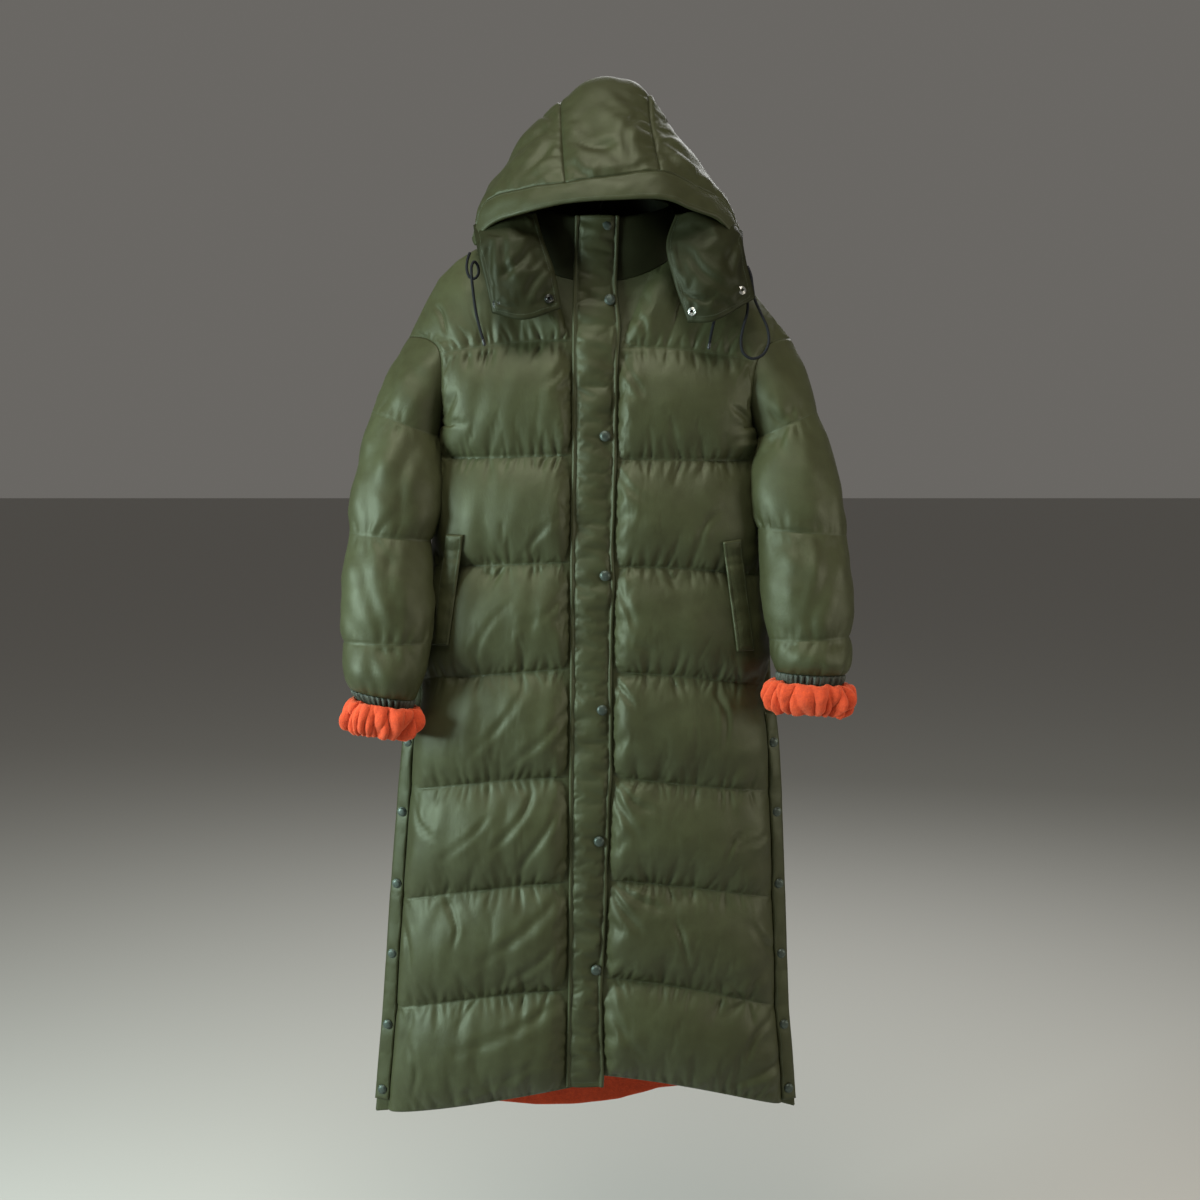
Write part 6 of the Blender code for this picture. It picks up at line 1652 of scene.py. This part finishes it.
def pressed(places, radius, profile):
    """Points and outward faces of round pieces pressed to one profile, on several places."""
    points, faces = [], []
    angles = np.arange(CAP_SIDES) * (2 * math.pi / CAP_SIDES)
    wall = grid_faces(len(profile), CAP_SIDES, closed=True)[:, (0, 3, 2, 1)]
    for spot, way in places:
        across = unit(np.cross(way, np.array((0.0, 0.0, 1.0))))
        up = np.cross(across, way)
        start = len(points)
        spokes = np.outer(np.cos(angles), across) + np.outer(np.sin(angles), up)
        for share, rise in profile:
            points += list(spot + spokes * (share * radius) + way * rise)
        faces += (start + wall).tolist()
        base, crown = len(points), len(points) + 1
        last = base - CAP_SIDES
        points += [spot + way * profile[0][1], spot + way * profile[-1][1]]
        for k in range(CAP_SIDES):
            faces.append((base, start + k, start + (k + 1) % CAP_SIDES))
            faces.append((crown, last + (k + 1) % CAP_SIDES, last + k))
    return points, faces


SNAP_NOISE = (4.0, 0.6)
SNAP_LOOKS = {
    # name, two shades, noise of the colour, the roughness and the relief, metallic
    "lacquer": ("snap_lacquer", ((0.038, 0.050, 0.042, 1.0), (0.080, 0.102, 0.088, 1.0)),
                (240.0, 0.3, 2.0), (700.0, 0.22, 0.32), (1500.0, 0.00006), 0.65),
    "plate": ("snap_plate", ((0.30, 0.30, 0.29, 1.0), (0.58, 0.58, 0.56, 1.0)),
              (300.0, 0.3, 2.0), (800.0, 0.25, 0.16), (1500.0, 0.00005), 1.0),
    "ring": ("snap_ring_black", ((0.020, 0.021, 0.020, 1.0), (0.070, 0.072, 0.068, 1.0)),
             (300.0, 0.3, 2.0), (800.0, 0.25, 0.18), (1500.0, 0.00005), 0.9),
    # Near-black and not metallic: painted shade inside the sockets' hollow middles.
    "hole": ("snap_hole", ((0.004, 0.004, 0.004, 1.0), (0.015, 0.016, 0.014, 1.0)),
             (500.0, 0.0, 1.0), (900.0, 0.3, 0.5), (1200.0, 0.00005), 0.0),
}
snap_looks = {kind: mottled(*row, detail=SNAP_NOISE, Metallic=metallic)
              for kind, (*row, metallic) in SNAP_LOOKS.items()}
CAPS = (CAP_PROFILE, "lacquer", "snap_dark")
SNAP_GROUPS = (
    # piece, its nodes' name, how many, radius, rise, profile, look, slot
    ("placket_caps", "placket_snap_", PLACKET_SNAPS, CAP_RADIUS, 0.0, *CAPS),
    ("side_caps_right", "side_snap_right_", SIDE_SNAPS, SIDE_CAP_RADIUS, SIDE_CAP_RISE, *CAPS),
    ("side_caps_left", "side_snap_left_", SIDE_SNAPS, SIDE_CAP_RADIUS, SIDE_CAP_RISE, *CAPS),
    ("tab_rings_right", "tab_snap_right_", TAB_SNAPS, SOCKET_RADIUS, 0.0, SOCKET_PROFILE, "ring",
     "snap_steel"),
    ("tab_sockets_left", "tab_snap_left_", TAB_SNAPS, SOCKET_RADIUS, 0.0, SOCKET_PROFILE,
     "plate", "snap_steel"),
)
for piece_name, node_name, count, radius, rise, profile, kind, slot in SNAP_GROUPS:
    nodes = [f"{node_name}{k}" for k in range(1, count + 1)]
    places = [(spot + way * rise, way) for spot, way in map(node_axis, nodes)]
    points, faces = pressed(places, radius, profile)
    slots = np.zeros((count, len(faces) // count), dtype=int)
    # The hollow's faces take the second look, near-black as painted shade.
    if profile is SOCKET_PROFILE:
        wall = (len(profile) - 1) * CAP_SIDES       # its last two rings and its middle are hollow
        slots[:, wall - 2 * CAP_SIDES:wall] = slots[:, wall + 1::2] = 1
    snaps = make_mesh(piece_name, points, faces, None, [snap_looks[kind], snap_looks["hole"]],
                      slots.ravel())
    dress(snaps, slot, *nodes)

# ---- Stitching ----
# Green polyester thread in lockstitch: short rounded stitches, sunk a little, along the placket,
# the tabs, the welts, the brim, the strips and every quilting line.
STITCH_PITCH = 0.0034
STITCH_LENGTH = 0.0027
THREAD_WIDTH = 0.00062
STITCH_UNEVENNESS = 0.16  # the most by which a stitch falls short of its size
STITCH_SINK = 0.00005
THREAD_GREEN = (0.035, 0.048, 0.026, 1.0)
THREAD_LIT = (0.075, 0.095, 0.058, 1.0)

thread_look = mottled("thread", (THREAD_GREEN, THREAD_LIT), (900.0, 0.3, 2.2),
                      (1200.0, 0.2, 0.45), (3000.0, 0.00008))


def stitch_tree():
    """A Geometry Nodes tree that lays one rounded stitch on every point of a mesh.

    Each point's "along" and "out" attributes turn its stitch.
    """
    tree = bpy.data.node_groups.new("stitches", "GeometryNodeTree")
    for name, kind, value in (("Geometry", "Geometry", None),
                              ("Stitch Length", "Float", STITCH_LENGTH),
                              ("Thread Width", "Float", THREAD_WIDTH),
                              ("Unevenness", "Float", STITCH_UNEVENNESS),
                              ("Seed", "Int", 0), ("Thread", "Material", thread_look)):
        socket = tree.interface.new_socket(name, in_out="INPUT", socket_type="NodeSocket" + kind)
        if value is not None:
            socket.default_value = value
    tree.interface.new_socket("Geometry", in_out="OUTPUT", socket_type="NodeSocketGeometry")

    def node(kind, settings=None, **inputs):
        made = tree.nodes.new(kind)
        for name, value in (settings or {}).items():
            setattr(made, name, value)
        for name, value in inputs.items():
            socket = [item for item in made.inputs
                      if item.enabled and item.name == name.replace("_", " ")][0]
            if isinstance(value, bpy.types.NodeSocket):
                tree.links.new(value, socket)
            else:
                socket.default_value = value
        return [item for item in made.outputs if item.enabled][0]

    given = tree.nodes.new("NodeGroupInput").outputs
    along_way, out_way = [node("GeometryNodeInputNamedAttribute", {"data_type": "FLOAT_VECTOR"},
                               Name=name) for name in ("along", "out")]
    turn = node("FunctionNodeAxesToRotation", {"primary_axis": "Z", "secondary_axis": "X"},
                Primary_Axis=out_way, Secondary_Axis=along_way)
    ball = node("GeometryNodeSetShadeSmooth",
                Geometry=node("GeometryNodeMeshUVSphere", Segments=6, Rings=4, Radius=0.5))
    least = node("ShaderNodeMath", {"operation": "SUBTRACT"}, Value=1.0)
    tree.links.new(given["Unevenness"], least.node.inputs[1])
    share = node("FunctionNodeRandomValue", {"data_type": "FLOAT"}, Min=least, Max=1.0,
                 Seed=given["Seed"])
    shape = node("ShaderNodeCombineXYZ", X=given["Stitch Length"], Y=given["Thread Width"],
                 Z=given["Thread Width"])
    sized = node("ShaderNodeVectorMath", {"operation": "SCALE"}, Vector=shape, Scale=share)
    laid = node("GeometryNodeInstanceOnPoints", Points=given["Geometry"], Instance=ball,
                Rotation=turn, Scale=sized)
    dyed = node("GeometryNodeSetMaterial", Geometry=node("GeometryNodeRealizeInstances",
                                                         Geometry=laid),
                Material=given["Thread"])
    tree.links.new(dyed, tree.nodes.new("NodeGroupOutput").inputs[0])
    return tree


def on_face(grid, ways, places):
    """Points and facing directions at fractional (row, column) places of a grid."""
    places = np.array(places, dtype=float)
    row = np.clip(places[:, 0], 0, grid.shape[0] - 1.001)
    column = np.clip(places[:, 1], 0, grid.shape[1] - 1.001)
    r, c = row.astype(int), column.astype(int)
    u, v = (row - r)[:, None], (column - c)[:, None]

    def blend(field):
        return ((field[r, c] * (1 - v) + field[r, c + 1] * v) * (1 - u)
                + (field[r + 1, c] * (1 - v) + field[r + 1, c + 1] * v) * u)

    return blend(grid), unit(blend(ways))


def stitch_run(points, ways):
    """The stitches' middles, directions and outward ways along a run of points."""
    count = max(2, int(run_length(points) / STITCH_PITCH))
    shares = (np.arange(count) + 0.5) / count
    spots = along(points, shares)
    outs = unit(along(points, shares, ways))
    return spots - outs * STITCH_SINK, unit(np.gradient(spots, axis=0)), outs


def sew(name, runs, seed):
    """One piece of thread work over several runs of stitches."""
    spots, tangents, outs = [np.concatenate(parts) for parts in zip(*runs)]
    mesh = bpy.data.meshes.new(name + "_points")
    mesh.from_pydata(spots.tolist(), [], [])
    for label, values in (("along", tangents), ("out", outs)):
        layer = mesh.attributes.new(label, "FLOAT_VECTOR", "POINT")
        layer.data.foreach_set("vector", values.astype(np.float32).ravel())
    guide = bpy.data.objects.new(name + "_points", mesh)
    bpy.context.scene.collection.objects.link(guide)
    modifier = guide.modifiers.new("stitches", "NODES")
    modifier.node_group = stitches
    for item in stitches.interface.items_tree:
        if item.name == "Seed":
            modifier[item.identifier] = seed
    guide.update_tag()
    evaluated = guide.evaluated_get(bpy.context.evaluated_depsgraph_get())
    made = bpy.data.objects.new(name, bpy.data.meshes.new_from_object(evaluated))
    bpy.context.scene.collection.objects.link(made)
    bpy.data.objects.remove(guide)
    dress(made, "nylon_trim")


def grid_inset(face, inset):
    """How many rows and columns of a grid an inset spans, and its last row and column."""
    across, down = reaches(face)
    last_row, last_column = face.shape[0] - 1, face.shape[1] - 1
    return (inset / down[-1].mean() * last_row, inset / across[:, -1].mean() * last_column,
            last_row, last_column)


stitches = stitch_tree()
rows = np.arange(placket_face.shape[0])
ways = facing(placket_face, FORWARD)
across = reaches(placket_face)[0]
runs = []
for far in (PLACKET_SEAM, PLACKET_EDGE):
    for from_start in (True, False):
        columns = [np.interp(far if from_start else line[-1] - far, line,
                             np.arange(len(line))) for line in across]
        runs.append(stitch_run(*on_face(placket_face, ways, np.stack((rows, columns), axis=1))))
for row in (2.0, placket_face.shape[0] - 4.0):
    places = np.linspace((row, 1.5), (row, placket_face.shape[1] - 2.5), 30)
    runs.append(stitch_run(*on_face(placket_face, ways, places)))
for face, ways in welt_faces:
    r, c, last_row, last_column = grid_inset(face, WELT_EDGE)
    ring = ((r, c), (r, last_column - c), (last_row - r, last_column - c), (last_row - r, c),
            (r, c))
    runs += [stitch_run(*on_face(face, ways, np.linspace(start, stop, 60)))
             for start, stop in zip(ring, ring[1:])]
for face, ways in strip_faces:
    places = np.stack((np.arange(STRIP_ROWS), np.full(STRIP_ROWS, STRIP_COLUMNS - 2.0)), axis=1)
    runs.append(stitch_run(*on_face(face, ways, places)))
for face in tab_faces:
    r, c, last_row, last_column = grid_inset(face, TAB_EDGE)
    ring = ((1.0, c), (last_row - r, c), (last_row - r, last_column - c), (1.0, last_column - c))
    runs += [stitch_run(*on_face(face, facing(face, FORWARD), np.linspace(start, stop, 60)))
             for start, stop in zip(ring, ring[1:])]
sew("edge_stitches", runs, 5)

runs = []
for drawn, ways, bands in quilted_faces:
    lines = np.flatnonzero((bands[:, 1] > LINE_SHARE) & (bands[:, 0] < bands[:, 0].max()))
    runs += [stitch_run(drawn[row], ways[row]) for row in lines]
for row in (HOOD_STEPS - 1.0, 1.6):
    places = np.linspace((row, 1), (row, brim_face.shape[1] - 2), 400)
    runs.append(stitch_run(*on_face(brim_face, brim_ways, places)))
sew("quilting_stitches", runs, 6)

# ---- Floor and light ----
# A plain pale floor below the hem, four broad soft lamps and an even pale surround.
FLOOR_Z = -1.90
FLOOR_HALF = 60.0
FLOOR_PALE = (0.46, 0.45, 0.43, 1.0)
SURROUND_PALE = (0.84, 0.80, 0.74, 1.0)
SURROUND_STRENGTH = 0.17

floor_look = finish("pale_floor", FLOOR_PALE, 0.9)
floor_points = [(x * FLOOR_HALF, y * FLOOR_HALF, FLOOR_Z)
                for x, y in ((-1, -1), (1, -1), (1, 1), (-1, 1))]
floor = make_mesh("floor", floor_points, [(0, 1, 2, 3)], None, [floor_look])

LAMPS = (
    # name, place, looks at, size, watts, colour
    ("lamp_window", (-2.3, -1.2, -0.4), (0.0, 0.0, -0.9), 0.9, 124.0, (0.80, 1.0, 0.97)),
    ("lamp_above", (-0.3, -1.3, 1.9), (0.0, 0.0, -0.8), 1.3, 76.0, (1.0, 0.95, 0.84)),
    ("lamp_side", (2.4, -1.0, -0.5), (0.0, 0.0, -1.0), 0.9, 30.0, (1.0, 0.94, 0.80)),
    ("lamp_back", (0.6, 2.6, 1.4), (0.0, 0.0, -0.6), 1.8, 50.0, (1.0, 1.0, 1.0)),
)
for name, place, looks_at, size, watts, colour in LAMPS:
    data = bpy.data.lights.new(name, "AREA")
    data.energy = watts
    data.size = size
    data.color = colour
    lamp = bpy.data.objects.new(name, data)
    lamp.location = place
    lamp.rotation_euler = (Vector(looks_at) - Vector(place)).to_track_quat("-Z", "Y").to_euler()
    bpy.context.scene.collection.objects.link(lamp)

world = bpy.data.worlds.new("pale_surround")
world.use_nodes = True
surround = world.node_tree.nodes["Background"].inputs
surround["Color"].default_value = SURROUND_PALE
surround["Strength"].default_value = SURROUND_STRENGTH
bpy.context.scene.world = world
bpy.context.scene.view_settings.view_transform = "Standard"
